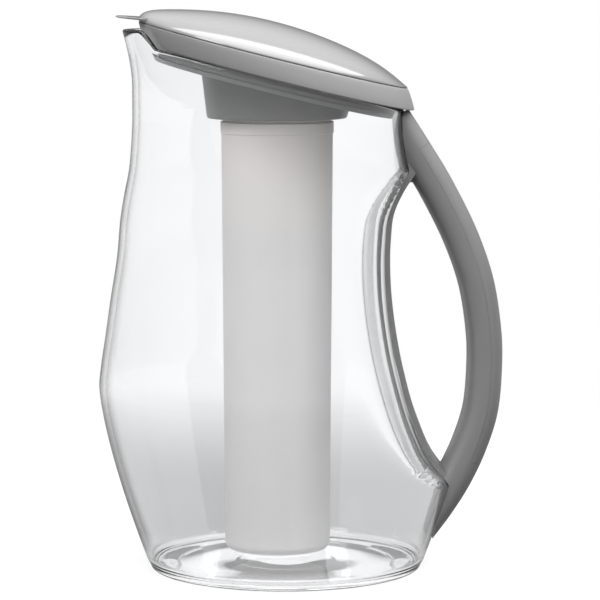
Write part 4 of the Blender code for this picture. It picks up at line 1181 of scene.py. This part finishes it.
floor_data = bpy.data.meshes.new("floor")
floor_mesh = bmesh.new()
bmesh.ops.create_grid(floor_mesh, x_segments=4, y_segments=4, size=6.0)
floor_mesh.to_mesh(floor_data)
floor_mesh.free()
floor_data.materials.append(pale_floor())
floor = bpy.data.objects.new("floor", floor_data)
floor.location = (0.0, 0.0, -0.0002)
bpy.context.scene.collection.objects.link(floor)
print("floor is", floor.dimensions.x, "m wide")

# %% [markdown]
# ## World
# The world is what a studio's white walls are. The camera, and rays through the clear body, see it
# at a strength of 1, which is white. As a light it's weaker: a soft fill that is stronger from
# above and from the front. A mirrored ray sees the same white high up and a darker room low down,
# which gives the grey plastics their darker sides.

# %% World
world = bpy.data.worlds.new("studio")
world.use_nodes = True
bpy.context.scene.world = world
sky = Nodes(world.node_tree, "World Output")
white = (1.0, 1.0, 1.0, 1.0)
direction = sky.node("ShaderNodeTexCoord").outputs["Generated"]
towards = sky.node("ShaderNodeSeparateXYZ", inputs={"Vector": direction})
rise = sky.signal(towards, "Z")
to_front = sky.eased(sky.signal(towards, "Y"), 0.1, -0.9)
fill_strength = 0.12 + 0.45 * sky.eased(rise, 0.0, 0.8) + 0.6 * to_front
fill = sky.node("ShaderNodeBackground", inputs={"Color": white, "Strength": fill_strength})
backdrop = sky.node("ShaderNodeBackground", inputs={"Color": white, "Strength": 1.0})
camera_ray = sky.signal(sky.node("ShaderNodeLightPath"), "Is Camera Ray")
seen = camera_ray + sky.looked_at(0.12 + 0.88 * sky.eased(rise, 0.1, 0.7))
surface = sky.blended(seen, fill, backdrop)
sky.feed(sky.output, {"Surface": surface.outputs[0]})
print("world nodes:", len(world.node_tree.nodes))

# %% [markdown]
# ## Lamps
# A studio lights a clear object with one broad soft box above, so that few hard shapes show on its
# walls. Walls that lean by 20 degrees mirror lamps up to about 45 degrees high, so both lamps stand
# that high or higher. The ceiling lamp also draws the band of light on the lid's cover, and the
# small one lights the left side of the tube and the handle.

# %% Lamps
def soft_lamp(name, place, target, size, power, turn=0.0):
    """A broad area lamp aimed at a point, and turned about its own axis."""
    data = bpy.data.lights.new(name, "AREA")
    data.shape = "RECTANGLE"
    data.size, data.size_y = size
    data.energy = power
    lamp = bpy.data.objects.new(name, data)
    lamp.location = place
    aimed = (Vector(target) - Vector(place)).to_track_quat("-Z", "Y")
    lamp.rotation_euler = (aimed @ Quaternion((0.0, 0.0, 1.0), turn)).to_euler()
    bpy.context.scene.collection.objects.link(lamp)
    print(name, "gives", power, "W")


CEILING = (0.42, -0.15, 1.36)
soft_lamp("ceiling_lamp", CEILING, (*CEILING[:2], 0.0), (2.15, 1.95), 41.0, math.radians(18.0))
soft_lamp("left_lamp", (-0.9, -0.7, 1.25), (0.0, 0.0, 0.12), (0.6, 0.6), 6.0)

# %% [markdown]
# ## Camera
# The picture was taken from the side, a little above the rim, with a long lens: upright lines stay
# upright and the base is a narrow ellipse. A camera 1.3 metres away has the same view.

# %% Camera
camera_data = bpy.data.cameras.new("camera")
camera_data.lens = 175.1
camera_data.sensor_width = 36.0
camera = bpy.data.objects.new("camera", camera_data)
camera.location = (0.0066, -1.330, 0.272)
aim = Vector((0.0066, 0.0, 0.123)) - camera.location
camera.rotation_euler = aim.to_track_quat("-Z", "Y").to_euler()
bpy.context.scene.collection.objects.link(camera)
bpy.context.scene.camera = camera
bpy.context.scene.view_settings.view_transform = "Standard"
print("camera lens:", camera_data.lens, "mm")

# %% Bring the scene up to date
bpy.context.view_layer.update()
